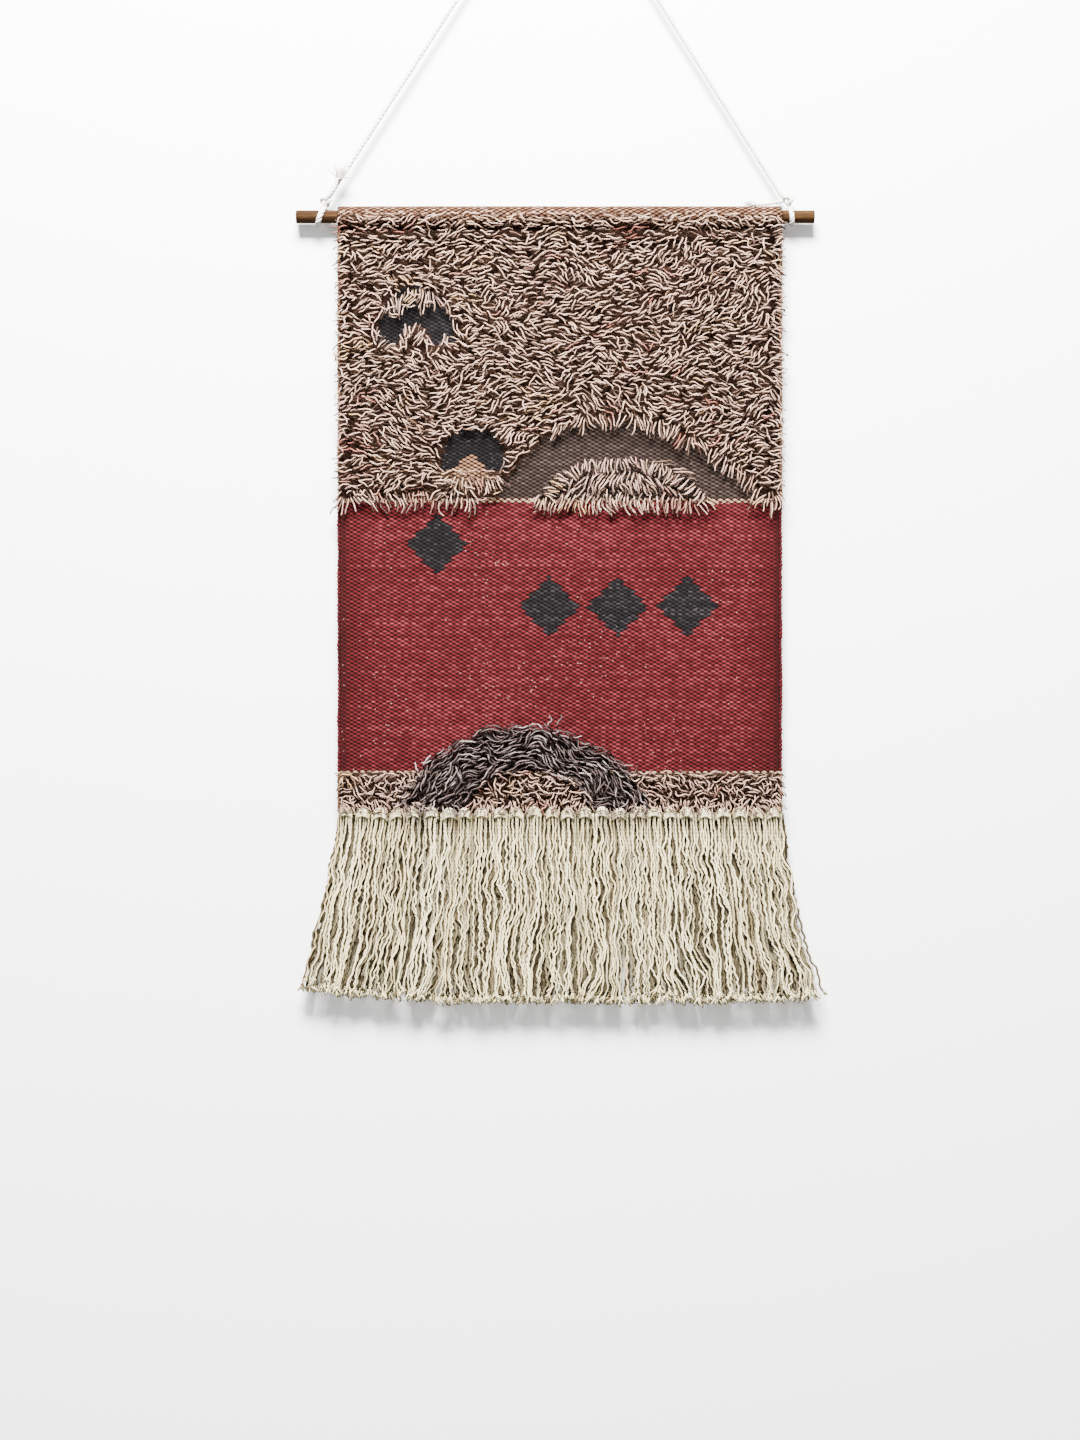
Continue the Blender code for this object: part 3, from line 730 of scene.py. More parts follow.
def left_tail(cord_start, along):
    """The left end of the cord, from its knot up along the front of the cord, with its brush."""
    front = Vector((0.0, -(CORD_RADIUS + TAIL_RADIUS + 2 * GAP), 0.0))
    start = knot_centre(0) + Vector((0.001, -0.003, 0.003))
    end = cord_start + front + along * 0.024 + Vector((-0.003, 0.0, 0.0))
    middle = start.lerp(end, 0.5) + Vector((0.003, -0.001, 0.0))
    route = smooth_outline([start, middle, end])
    rope = rope_mesh("left_tail_rope", route, TAIL_RADIUS, pitch=TAIL_PITCH)
    return join_meshes([rope, fray("left_brush", end, along, 46, 0.018, 0.62, 11)])


def right_tail():
    """The right end of the cord, from its knot down to the top of the pocket and along it."""
    centre = knot_centre(1)
    low = ROD_Z + ROD_RADIUS + POCKET_CLEARANCE + CLOTH + TAIL_RADIUS + 2 * GAP
    places = [
        (centre.x - 0.003, HANG_Y - 0.002, centre.z),
        (centre.x - 0.010, HANG_Y - 0.002, low + 0.0025),
        (centre.x - 0.022, HANG_Y - 0.001, low + 0.0008),
        (RIGHT_TAIL_END_X + 0.012, HANG_Y - 0.001, low + 0.0004),
    ]
    rope = rope_mesh("right_tail_rope", smooth_outline(places), TAIL_RADIUS, pitch=TAIL_PITCH)
    return join_meshes([rope, fray("right_brush", places[-1], (-1.0, -0.1, 0.05), 34, 0.014, 0.24, 12)])


def make_suspension():
    """The hanging cord, and the hitch, the knot and the tail at each of its ends."""
    points = hanging_cord_points()
    rope = rope_mesh("hanging_cord_rope", points, CORD_RADIUS)
    cord = add_cord_part("hanging_cord_rope", rope, "hanging_cord")
    for side, word in enumerate(("left", "right")):
        thickness = CORD_RADIUS * HITCH_THICKNESS[side]
        turn = rope_mesh(f"{word}_hitch", hitch_route(side), thickness, pitch=0.014)
        add_cord_part(f"{word}_hitch", turn, f"{word}_hitch_loop")
        tied = knot_centre(side) + RIGHT_KNOT_SHIFT * side
        knot = rope_mesh(f"{word}_knot_rope", knot_route(tied, KNOT_SIZE), KNOT_ROPE_RADIUS, 0.001, 0.010)
        add_cord_part(f"{word}_knot_rope", knot, f"{word}_knot")
    along = (points[1] - points[0]).normalized()
    add_cord_part("left_tail_rope", left_tail(points[0], along), "left_tail")
    add_cord_part("right_tail_rope", right_tail(), "right_tail")


# ---------------------------------------------------------------------------------------------
# Woven cloth
# ---------------------------------------------------------------------------------------------
WEAVE_LEFT = PANEL_LEFT + SELVEDGE_WIDTH + GAP
WEAVE_RIGHT = PANEL_RIGHT - SELVEDGE_WIDTH - GAP
BEAD_COLUMNS = 60
BEAD_WIDTH = (WEAVE_RIGHT - WEAVE_LEFT) / BEAD_COLUMNS
UPPER_ROWS = 138
RED_ROWS = 134
LOWER_ROWS = 20
ALL_ROWS = UPPER_ROWS + RED_ROWS + LOWER_ROWS
LIGHT_ROWS = (UPPER_ROWS - 2, UPPER_ROWS - 1, UPPER_ROWS + RED_ROWS)
FINE = (6, 3)  # the samples across and down each bead
COARSE = (4, 2)  # the same where pile hides the beads
BEAD_HEIGHT = 0.0012
BEAD_SLANT = 0.16
ROW_HEIGHT = 0.0023
TUCK = 0.0020  # how far the cloth runs in under each selvedge
CLOTH_FRONT = HANG_Y - 0.0008
CLOTH_BACK = HANG_Y + 0.0008
GROOVES = (-0.2416, 0.2438)  # the furrow beside each selvedge, where the beads are lower and have painted shade
GROOVE_WIDTH = 0.0022
UNDER_PILE_SHADE = 0.12  # painted shadow: how bright the cloth's colour is under the pile
LINT_CHANCE = 0.008
BEAD_VARY = 0.20
ROW_VARY = 0.040
EDGE_DARK = 0.16
EDGE_REACH = 0.025
WEAVE_AREAS = {"red": "red_weave", "brown": "brown_weave", "charcoal": "charcoal_weave", "tan": "tan_weave"}

# The outlines of the motifs, as (x, z). The hill and the mound start from the top of the red field.
HILL = (
    (-0.070, 0.0), (-0.058, 0.028), (-0.030, 0.060), (0.0, 0.081), (0.045, 0.091), (0.090, 0.088),
    (0.140, 0.068), (0.185, 0.040), (0.215, 0.016), (0.223, 0.0),
)
MOUND = (
    (-0.022, 0.0), (0.0, 0.028), (0.025, 0.043), (0.057, 0.047), (0.090, 0.045), (0.118, 0.037),
    (0.146, 0.020), (0.168, 0.0),
)
UPPER_ARCH = ((-0.1605, -0.546), (0.044, 0.066), (0.017, 0.022))
LOWER_ARCH = ((-0.0960, -0.6894), (0.0375, 0.0525), (0.0213, 0.020))
TAN_PATCH = (
    (-0.1225, -0.706), (-0.1225, -0.6905), (-0.1035, -0.6702), (-0.0965, -0.6702), (-0.0790, -0.6885),
    (-0.0790, -0.706),
)
DIAMOND_CENTRES = ((-0.1376, -0.7709), (-0.0112, -0.8411), (0.0657, -0.8411), (0.1438, -0.8400))
DIAMOND_HALF = (0.0343, 0.0337)
BIG_ARCH = (
    (-0.180, -1.066), (-0.152, -1.020), (-0.106, -0.9906), (-0.075, -0.977), (-0.012, -0.978),
    (0.035, -0.996), (0.081, -1.028), (0.101, -1.066),
)
BIG_ARCH_INNER = (-0.034, -1.066, 0.067, 0.043)
BAND_BOTTOM = -1.066


def half_ellipse(x, foot, half_width, height, steps=24):
    angle = np.pi * (1 - np.arange(steps + 1) / steps)
    return np.stack([x + half_width * np.cos(angle), foot + height * np.sin(angle)], axis=-1)


def arch_outline(base, outer, inner):
    return np.concatenate([half_ellipse(*base, *outer), half_ellipse(*base, *inner)[::-1]])


def above_red(outline):
    curve = smooth_outline(outline)
    return np.stack([curve[:, 0], RED_TOP + curve[:, 1]], axis=-1)


def row_edges():
    """The height of each edge between rows of beads, from the top down."""
    upper = np.linspace(WEAVE_TOP, RED_TOP, UPPER_ROWS + 1)
    red = np.linspace(RED_TOP, RED_BOTTOM, RED_ROWS + 1)[1:]
    lower = np.linspace(RED_BOTTOM, GROUND_BOTTOM, LOWER_ROWS + 1)[1:]
    return np.concatenate([upper, red, lower])


def bead_pattern(across, down):
    """The beads of a weft-faced weave, where each row's beads lie over the gaps of the rows beside it.

    across is a place along the rows, in beads, and down is a place down the rows, in rows.
    The result is the height there, and the row and the number along it of the bead that it is on.
    """
    height = np.full(across.shape, -1.0)
    row = np.zeros(across.shape, dtype=int)
    bead = np.zeros(across.shape, dtype=int)
    for offset in (-1, 0, 1):
        its_row = np.floor(down).astype(int) + offset
        shift = 0.5 * (its_row % 2)
        its_bead = np.floor(across - shift + 0.5).astype(int)
        dx = across - shift - its_bead
        dz = down - its_row - 0.5 - BEAD_SLANT * dx
        dome = 1 - (dx / 0.455) ** 2 - (dz / 0.82) ** 2
        higher = dome > height
        height = np.where(higher, dome, height)
        row = np.where(higher, its_row, row)
        bead = np.where(higher, its_bead, bead)
    return np.sqrt(np.clip(height, 0, 1)), row, bead


def crest_colour(bump):
    """Painted shade: how much of its colour a bead shows, none in the gap beside it, all along its ridge.
    """
    return np.clip((bump - 0.42) / 0.53, 0, 1) ** 2.3


def bead_grid(first_row, rows, across, down, spots):
    """Points on the front and the back of the cloth, and the bead that each face belongs to.

    across and down are the samples along each side of a bead.
    """
    edges = row_edges()
    columns = BEAD_COLUMNS * across
    down_line = first_row + np.arange(rows * down + 1) / down
    z_line = np.interp(down_line, np.arange(len(edges)), edges)
    across_line = np.arange(columns + 1) / across
    x, z = np.meshgrid(WEAVE_LEFT + across_line * BEAD_WIDTH, z_line)
    over, under = np.meshgrid(across_line, down_line)
    bump = bead_pattern(over, under)[0]
    edge = np.minimum(over, BEAD_COLUMNS - over)
    bump = bump * np.clip(edge / 0.15, 0, 1)
    x_soft = x + smooth_noise(6, x, z, 0.035) * 0.0005
    z_soft = z + smooth_noise(7, x, z, 0.05) * 0.0007 + smooth_noise(11, x, z, 0.012) * 0.0003
    wave = smooth_noise(8, x, z, 0.09) * 0.0006 + smooth_noise(9, x, z, 0.03) * 0.0002
    groove = sum(np.exp(-(((x - at) / GROOVE_WIDTH) ** 2)) for at in GROOVES)
    tall = BEAD_HEIGHT * (1 + 0.22 * smooth_noise(10, x, z, 0.006)) * (1 - 0.6 * groove)
    x_soft[:, 0] -= TUCK
    x_soft[:, -1] += TUCK
    front = np.stack([x_soft, CLOTH_FRONT + wave - tall * bump, z_soft], axis=-1)
    back = np.stack([x_soft, CLOTH_BACK + wave + tall * bump, z_soft], axis=-1)
    # painted shade: dark in the gaps between beads, and darker in the furrow beside each selvedge
    spots["crest"] = crest_colour(bump) * (1 - 0.5 * groove)
    middle_over, middle_under = over[:-1, :-1] + 0.5 / across, under[:-1, :-1] + 0.5 / down
    _, row, bead = bead_pattern(middle_over, middle_under)
    row = np.clip(row, 0, len(edges) - 2)
    spots["row"] = row
    spots["bead"] = np.clip(bead, 0, BEAD_COLUMNS)
    bead_x = WEAVE_LEFT + (bead + 0.5 * (row % 2)) * BEAD_WIDTH
    spots["bead_x"] = np.clip(bead_x, WEAVE_LEFT, WEAVE_RIGHT)
    spots["bead_z"] = (edges[row] + edges[row + 1]) / 2
    return front, back


def face_corners(index):
    """The four corners of every face of a grid of points."""
    return index[:-1, :-1], index[1:, :-1], index[1:, 1:], index[:-1, 1:]


def cloth_piece(name, front, back, mask, crest, tone, fleck, lit=1.0):
    """A closed sheet over the faces in the mask, with walls round its edge.

    lit is the painted shade on its front: how bright it is, which is low where pile hides it.
    """
    rows, columns = mask.shape
    index = np.arange((rows + 1) * (columns + 1)).reshape(rows + 1, columns + 1)
    far = index + index.size
    a, b, c, d = face_corners(index)
    e, f, g, h = face_corners(far)
    quads = [np.stack([a, b, c, d], -1)[mask], np.stack([e, h, g, f], -1)[mask]]
    kinds = [tone[mask], tone[mask]]
    flecks = [fleck[mask], fleck[mask]]
    padded = np.pad(mask, 1)
    walls = (
        (padded[1:-1, :-2], (a, e, f, b)),
        (padded[1:-1, 2:], (c, g, h, d)),
        (padded[:-2, 1:-1], (d, h, e, a)),
        (padded[2:, 1:-1], (b, f, g, c)),
    )
    for neighbour, corners in walls:
        edge = mask & ~neighbour
        quads.append(np.stack(corners, -1)[edge])
        kinds.append(tone[edge])
        flecks.append(0 * fleck[edge])
    faces = np.concatenate(quads)
    points = np.concatenate([front.reshape(-1, 3), back.reshape(-1, 3)])
    used, compact = np.unique(faces, return_inverse=True)
    mesh = build_mesh(name, points[used], [compact.reshape(faces.shape)])
    # painted shade: the front's crest is multiplied by lit
    set_values(mesh, "crest", np.concatenate([(crest * lit).ravel(), crest.ravel()])[used])
    set_values(mesh, "tone", np.concatenate(kinds), "FACE")
    set_values(mesh, "fleck", np.concatenate(flecks), "FACE")
    return mesh


def bead_values(spots, seed):
    """A random value for each bead, the same at every sample of it."""
    table = np.random.default_rng(seed).uniform(0, 1, (ALL_ROWS, BEAD_COLUMNS + 2))
    return table[spots["row"], spots["bead"]]


def cloth_values(spots, seed):
    """The tone and the lint of each face: beads vary, and so do whole rows and patches."""
    x, z = spots["bead_x"], spots["bead_z"]
    rows = np.random.default_rng(seed).normal(0, 1, 400)[spots["row"]]
    tone = 0.52 + BEAD_VARY * (bead_values(spots, seed) - 0.5) + ROW_VARY * rows
    tone = tone + 0.04 * smooth_noise(seed + 1, x, z, 0.05) + 0.02 * smooth_noise(seed + 2, x, z, 0.012)
    edge = np.minimum(x - WEAVE_LEFT, WEAVE_RIGHT - x)
    tone = tone - EDGE_DARK * np.exp(-((edge / EDGE_REACH) ** 2))
    rng = np.random.default_rng(seed + 3)
    patchy = np.clip(smooth_noise(seed + 4, x, z, 0.05) + 0.25, 0.04, 1)
    chance = LINT_CHANCE * patchy * np.clip(edge / 0.05, 0.25, 1)
    lint = (rng.uniform(0, 1, x.shape) < chance) * rng.uniform(0.15, 0.9, x.shape)
    return tone, lint


def weave_part(name, nodes, kind, grid, mask, seed):
    """One inlay or ground of the panel, as its own sheet."""
    front, back, spots = grid
    tone, lint = cloth_values(spots, seed)
    light = np.isin(spots["row"], LIGHT_ROWS)
    tone = np.where(light, 0.80 + 0.3 * (tone - 0.5), tone)
    # painted shade: lit darkens the cloth under the pile
    lit = 1.0
    # painted shade: deeper between the tan beads
    crest = spots["crest"] ** 1.7 if kind == "tan" else spots["crest"]
    if kind == "tan" and name != "tan_patch_cloth":
        lit = spots["lit"]
    elif kind == "red":
        under = depth_inside(BIG_ARCH, front[..., 0].ravel(), front[..., 2].ravel()) > 0.003
        lit = np.where(under.reshape(front.shape[:2]), UNDER_PILE_SHADE, 1.0)
    # painted shade of the pile round the bare arch motifs
    elif name.endswith("arch_motif_cloth"):
        lit = 0.7
    mesh = cloth_piece(name, front, back, mask, crest, tone, lint, lit)
    slot = WEAVE_AREAS[kind]
    obj = add_piece(name, mesh, WEAVES[slot], "panel", nodes)
    x = spots["bead_x"][mask]
    z = spots["bead_z"][mask]
    width = float(x.max() - x.min()) + BEAD_WIDTH * 0.5
    length = float(z.max() - z.min()) + ROW_HEIGHT
    area = float(mask.sum()) * spots["face_area"]
    area = min(max(area, 0.3 * width * length), width * length)


def make_grid(first_row, end_row, samples):
    """A grid of the rows before end_row, and of one more row on each side, because the beads interlock."""
    across, down = samples
    first = max(first_row - 1, 0)
    last = min(end_row + 1, ALL_ROWS)
    spots = {"face_area": BEAD_WIDTH / across * float(-np.diff(row_edges()).mean()) / down}
    front, back = bead_grid(first, last - first, across, down, spots)
    # painted shadow of the pile on every row but the light rows, which show between the piles
    light = np.isin(spots["row"], LIGHT_ROWS)
    hidden = np.ones(front.shape[:2], dtype=bool)
    for corner in (np.s_[:-1, :-1], np.s_[1:, :-1], np.s_[:-1, 1:], np.s_[1:, 1:]):
        hidden[corner] &= ~light
    spots["lit"] = np.where(hidden, UNDER_PILE_SHADE, 1.0)
    return front, back, spots


def upper_masks(spots):
    """Which beads of the upper cloth belong to each inlay. The last two rows are plain ground."""
    x, z = spots["bead_x"], spots["bead_z"]
    free = spots["row"] < UPPER_ROWS - 2
    patch = inside(TAN_PATCH, x, z) & free
    masks = {
        "tan_patch": patch,
        "brown_hill": inside(above_red(HILL), x, z) & free,
        "upper_arch_motif": inside(arch_outline(*UPPER_ARCH), x, z) & free,
        "lower_arch_motif": inside(half_ellipse(*LOWER_ARCH[0], *LOWER_ARCH[1]), x, z) & ~patch & free,
    }
    masks["brown_hill"] &= ~masks["lower_arch_motif"] & ~patch
    return masks


def diamond_mask(spots, centre):
    x, z = spots["bead_x"], spots["bead_z"]
    half_x, half_z = DIAMOND_HALF
    return np.abs(x - centre[0]) / half_x + np.abs(z - centre[1]) / half_z < 1.0


def rows_within(grid, first, last):
    return (grid[2]["row"] >= first) & (grid[2]["row"] < last)


def make_upper_inlays():
    grid = make_grid(0, UPPER_ROWS, FINE)
    kinds = {"tan_patch": "tan", "brown_hill": "brown"}
    for seed, (name, mask) in enumerate(upper_masks(grid[2]).items(), 40):
        weave_part(f"{name}_cloth", [name], kinds.get(name, "charcoal"), grid, mask, seed)


def make_upper_ground():
    """The ground round the upper inlays, in strips that keep each mesh small."""
    strips = ((0, 70, COARSE), (70, UPPER_ROWS - 14, COARSE), (UPPER_ROWS - 14, UPPER_ROWS, FINE))
    for number, (first, last, samples) in enumerate(strips, 1):
        grid = make_grid(first, last, samples)
        ground = rows_within(grid, first, last)
        for mask in upper_masks(grid[2]).values():
            ground &= ~mask
        weave_part(f"upper_ground_cloth_{number}", ["upper_ground"], "tan", grid, ground, 50)


def make_red_field():
    """The red ground, in four strips, and the diamonds in it."""
    for number in range(1, 5):
        first = UPPER_ROWS + round((number - 1) / 4 * RED_ROWS)
        last = UPPER_ROWS + round(number / 4 * RED_ROWS)
        grid = make_grid(first, last, FINE)
        red = rows_within(grid, first, last)
        for centre in DIAMOND_CENTRES:
            red &= ~diamond_mask(grid[2], centre)
        weave_part(f"red_ground_cloth_{number}", ["red_ground"], "red", grid, red, 60)
    grid = make_grid(UPPER_ROWS, UPPER_ROWS + RED_ROWS // 2 + 10, FINE)
    for number, centre in enumerate(DIAMOND_CENTRES, 1):
        mask = diamond_mask(grid[2], centre)
        weave_part(f"diamond_{number}_cloth", [f"diamond_{number}"], "charcoal", grid, mask, 70 + number)


def make_lower_ground():
    first = UPPER_ROWS + RED_ROWS
    grid = make_grid(first, ALL_ROWS, FINE)
    weave_part("lower_ground_cloth", ["lower_ground"], "tan", grid, rows_within(grid, first, ALL_ROWS), 80)


SELVEDGE_SIDES = 8
WRAP_PLACES = (0.0, 0.3, 0.7)  # where each wrap of weft has its rings, as a share of its two rows
WRAP_WAIST = 0.55  # how thick the selvedge is between its wraps
POCKET_ROWS = 30
POCKET_BEAD = 0.0015
POCKET_FURROWS = 3.2  # painted shade: how much darker than the flat weave the pocket is between its beads
HEM_BEAD = 0.0006
STITCH_LENGTH = 0.0065
STITCH_GAP = 0.0035
STITCH_RADIUS = 0.00045


def selvedge_part(name, x, outward, first, last, slot, node):
    """A wrapped edge cord from one row to another: a bulge where the weft of two rows turns round it."""
    rng = np.random.default_rng(90 + first + outward)
    edges = row_edges()
    rings = len(WRAP_PLACES)
    row = np.append(np.repeat(np.arange(first, last, 2), rings), last)
    share = np.append(np.tile(WRAP_PLACES, (last - first) // 2), 0.0)
    z = edges[row] * (1 - share) + edges[np.minimum(row + 2, last)] * share
    bulge = np.where(share == 0, WRAP_WAIST, 1.0)
    radius = SELVEDGE_WIDTH / 2 * bulge * rng.uniform(0.75, 1.15, last + 1)[row]
    angle = 2 * np.pi * np.arange(SELVEDGE_SIDES) / SELVEDGE_SIDES
    ring = np.stack([np.cos(angle), np.sin(angle), 0 * angle], axis=-1)
    points = ring[None] * radius[:, None, None]
    centre_x = x - outward * SELVEDGE_WIDTH / 2 + smooth_noise(91, z * 0, z, 0.02) * 0.0005
    points[..., 0] += centre_x[:, None]
    points[..., 1] += HANG_Y
    points[..., 2] += z[:, None]
    tube = tube_faces(len(z), SELVEDGE_SIDES, flip=True)
    mesh = build_mesh(name, points.reshape(-1, 3), tube)
    # painted shade at the selvedge's waist between its wraps
    crest = np.repeat((bulge - WRAP_WAIST) / (1 - WRAP_WAIST), SELVEDGE_SIDES)
    set_values(mesh, "crest", crest * 0.85)
    faces = rings * SELVEDGE_SIDES
    count = len(tube[0])
    tone = 0.35 + 0.3 * (rng.uniform(0, 1, count // faces + 2) - 0.5)
    face_tone = np.concatenate([np.repeat(tone, faces)[:count], [0.4, 0.4]])
    set_values(mesh, "tone", face_tone, "FACE")
    set_values(mesh, "fleck", np.zeros(len(face_tone)), "FACE")
    add_piece(name, mesh, WEAVES[slot], "panel", [node])


def make_selvedges():
    zones = (
        ("upper", 0, UPPER_ROWS, "tan_weave"),
        ("red", UPPER_ROWS, UPPER_ROWS + RED_ROWS, "red_weave"),
        ("lower", UPPER_ROWS + RED_ROWS, ALL_ROWS, "tan_weave"),
    )
    for word, x, outward in (("left", PANEL_LEFT, -1), ("right", PANEL_RIGHT, 1)):
        node = f"{word}_selvedge"
        for zone, first, last, slot in zones:
            selvedge_part(f"{node}_{zone}", x, outward, first, last, slot, node)


def make_pocket():
    """The sleeve round the dowel, as one roll of beads."""
    outer = ROD_RADIUS + POCKET_CLEARANCE + CLOTH - 0.0004
    inner = ROD_RADIUS + POCKET_CLEARANCE + 0.0002
    rows, (across, down) = POCKET_ROWS, FINE
    columns = BEAD_COLUMNS * across
    i, j = np.meshgrid(np.arange(columns + 1), np.arange(rows * down + 1))
    bump = bead_pattern(i / across, j / down)[0]
    bump[-1] = bump[0]
    bump[:, [0, -1]] = 0.0
    x = PANEL_LEFT + 0.0008 + i * (PANEL_RIGHT - PANEL_LEFT - 0.0016) / columns
    x = x + smooth_noise(6, x, j * 0.001, 0.02) * 0.0003
    angle = 2 * np.pi * j / (rows * down)
    sag = 1 + 0.02 * smooth_noise(14, x, angle * 0.01, 0.03)
    shapes = []
    for radius, bead in ((outer, POCKET_BEAD), (inner, 0.0)):
        r = (radius + bead * bump) * sag
        shapes.append(np.stack([x, HANG_Y - r * np.cos(angle), ROD_Z + r * np.sin(angle)], axis=-1))
    front, back = shapes
    front[-1], back[-1] = front[0], back[0]
    index = np.arange(front.shape[0] * front.shape[1]).reshape(front.shape[:2])
    index[-1] = index[0]
    far = index + front.shape[0] * front.shape[1]
    a, b, c, d = face_corners(index)
    e, f, g, h = face_corners(far)
    quads = [np.stack([a, d, c, b], -1).reshape(-1, 4), np.stack([e, f, g, h], -1).reshape(-1, 4)]
    quads += [np.stack([a, b, f, e], -1)[:, 0], np.stack([d, h, g, c], -1)[:, -1]]
    faces = np.concatenate(quads)
    points = np.concatenate([front.reshape(-1, 3), back.reshape(-1, 3)])
    used, compact = np.unique(faces, return_inverse=True)
    mesh = build_mesh("rod_pocket_cloth", points[used], [compact.reshape(faces.shape)])
    crest = np.concatenate([bump.ravel(), bump.ravel()])[used]
    # painted shade between the pocket's beads
    set_values(mesh, "crest", crest_colour(crest) ** POCKET_FURROWS)
    beads = np.random.default_rng(15).uniform(-0.1, 0.85, (rows + 2, BEAD_COLUMNS + 2))
    _, row, bead = bead_pattern((i[:-1, :-1] + 0.5) / across, (j[:-1, :-1] + 0.5) / down)
    tone = beads[row % rows, bead].ravel()
    ends = np.full(len(faces) - 2 * len(tone), 0.5)
    set_values(mesh, "tone", np.concatenate([tone, tone, ends]), "FACE")
    set_values(mesh, "fleck", np.zeros(len(faces)), "FACE")
    pocket = add_piece("rod_pocket_cloth", mesh, WEAVES["tan_weave"], "panel", ["rod_pocket"])


def make_hem():
    """The pocket's folded edge, behind the cloth."""
    low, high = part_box("pocket_hem")
    across, down, rows = 2, 2, 5
    columns = BEAD_COLUMNS * across
    i, j = np.meshgrid(np.arange(columns + 1), np.arange(rows * down + 1))
    u = (i / across + 0.5 * ((j // down) % 2)) % 1.0
    bump = np.abs(np.sin(np.pi * u)) * np.abs(np.sin(np.pi * j / down))
    bump[:, [0, -1]] = 0.0
    x = low[0] + 0.0005 + i * (high[0] - low[0] - 0.001) / columns
    z = high[2] + (low[2] - high[2]) * j / (rows * down)
    front = np.stack([x, low[1] + 0 * x + 0.0001, z], axis=-1)
    back = np.stack([x, high[1] - HEM_BEAD + HEM_BEAD * bump, z], axis=-1)
    mask = np.ones((rows * down, columns), dtype=bool)
    tone = np.random.default_rng(16).uniform(0.3, 0.8, (rows, BEAD_COLUMNS))
    tone = np.repeat(np.repeat(tone, down, axis=0), across, axis=1)
    # painted shade between the hem's beads
    mesh = cloth_piece("pocket_hem_cloth", front, back, mask, 0.3 + 0.7 * bump, tone, 0 * tone)
    hem = add_piece("pocket_hem_cloth", mesh, WEAVES["tan_weave"], "panel", ["pocket_hem"])


def make_stitches():
    """The running stitches that hold the hem."""
    low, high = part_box("pocket_stitching")
    starts = np.arange(low[0] + 0.001, high[0] - STITCH_LENGTH, STITCH_LENGTH + STITCH_GAP)
    t = np.linspace(0, 1, 9)[None]
    x_line = starts[:, None] + STITCH_LENGTH * t
    middle_y = (low[1] + high[1]) / 2
    y_line = middle_y + 0.0004 - 0.0016 * (2 * t - 1) ** 8 + 0 * x_line
    z_line = (low[2] + high[2]) / 2 + 0.0004 * np.sin(starts * 900)[:, None] * (2 * t - 1)
    paths = np.stack([x_line, y_line, z_line], axis=-1)
    radii = np.full(paths.shape[:2], STITCH_RADIUS)
    tones = np.random.default_rng(17).uniform(0.3, 0.9, len(starts))
    mesh = yarn_mesh("running_stitches", paths, radii, tones, np.ones(radii.shape), 6)
    add_piece("running_stitches", mesh, THREAD, "panel", ["pocket_stitching"])


# ---------------------------------------------------------------------------------------------
# Pile
# ---------------------------------------------------------------------------------------------
STRAND_POINTS = 12
STRAND_RADIUS = 0.00077
SPACING = 0.00215  # how far apart yarns of one layer lie
LOOSE_SPACING = 0.0045  # the same for a thin top layer
CROWDING = 0.13  # the share of a yarn's length that may lie on its neighbours
ROOT_LIGHT = 0.45  # painted shade: how steeply a yarn brightens from the cloth outwards, 1 is evenly
# painted shade: the lift at which a yarn reaches its full colour
BRIGHT_LIFT = 0.0085
DOWN = -np.pi / 2
ROSE_SEED = 31
# How yarns that lie together wave together: noises that add up, each (seed, size of a wave, radians)
MAIN_SWIRL = ((21, 0.060, 0.55), (22, 0.026, 0.95), (23, 0.011, 0.75))
UNDER_SWIRL = ((24, 0.040, 0.9), (26, 0.012, 0.7))
EDGE_SWIRL = ((18, 0.017, 0.75), (19, 0.009, 0.35))
MOUND_SWIRL = ((25, 0.016, 0.65), (28, 0.009, 0.45))
ARCH_SWIRL = ((36, 0.020, 1.0), (37, 0.010, 0.8))
BAND_SWIRL = ((27, 0.015, 0.9), (29, 0.008, 0.5))
UPPER_BRIGHT = 1.0  # brightness of the upper pile's two top layers, which have no painted shade
UPPER_DIM = 0.40  # brightness of the layer beneath them: painted shade
POCKET_TOP = -0.4025  # where the pile starts, half way down the front of the pocket
CLOTH_FRONT_Y = -0.0143  # where the pile's roots come out
POCKET_STANDS_OUT = 0.0088
ROOT_DEPTH = 0.0004
# The layers of each part's pile, from the cloth outwards, as (least and most lift, brightness, spacing).
# The brightness is painted shade, lower for the layers nearer the cloth.
MOUND_LAYERS = (
    ((0.0025, 0.0055), 0.62, SPACING),
    ((0.0062, 0.0085), 1.0, SPACING),
    ((0.0085, 0.0110), 1.0, LOOSE_SPACING),
)
ARCH_LAYERS = (
    ((0.0008, 0.0022), 0.5, SPACING * 0.9),
    ((0.0025, 0.0055), 0.6, SPACING * 0.9),
    ((0.0062, 0.0090), 1.0, SPACING * 0.9),
    ((0.0095, 0.0135), 1.0, LOOSE_SPACING),
)
BAND_LAYERS = (
    ((0.0025, 0.0055), 0.62, SPACING),
    ((0.0060, 0.0085), 1.0, SPACING),
    ((0.0085, 0.0110), 1.0, LOOSE_SPACING),
)

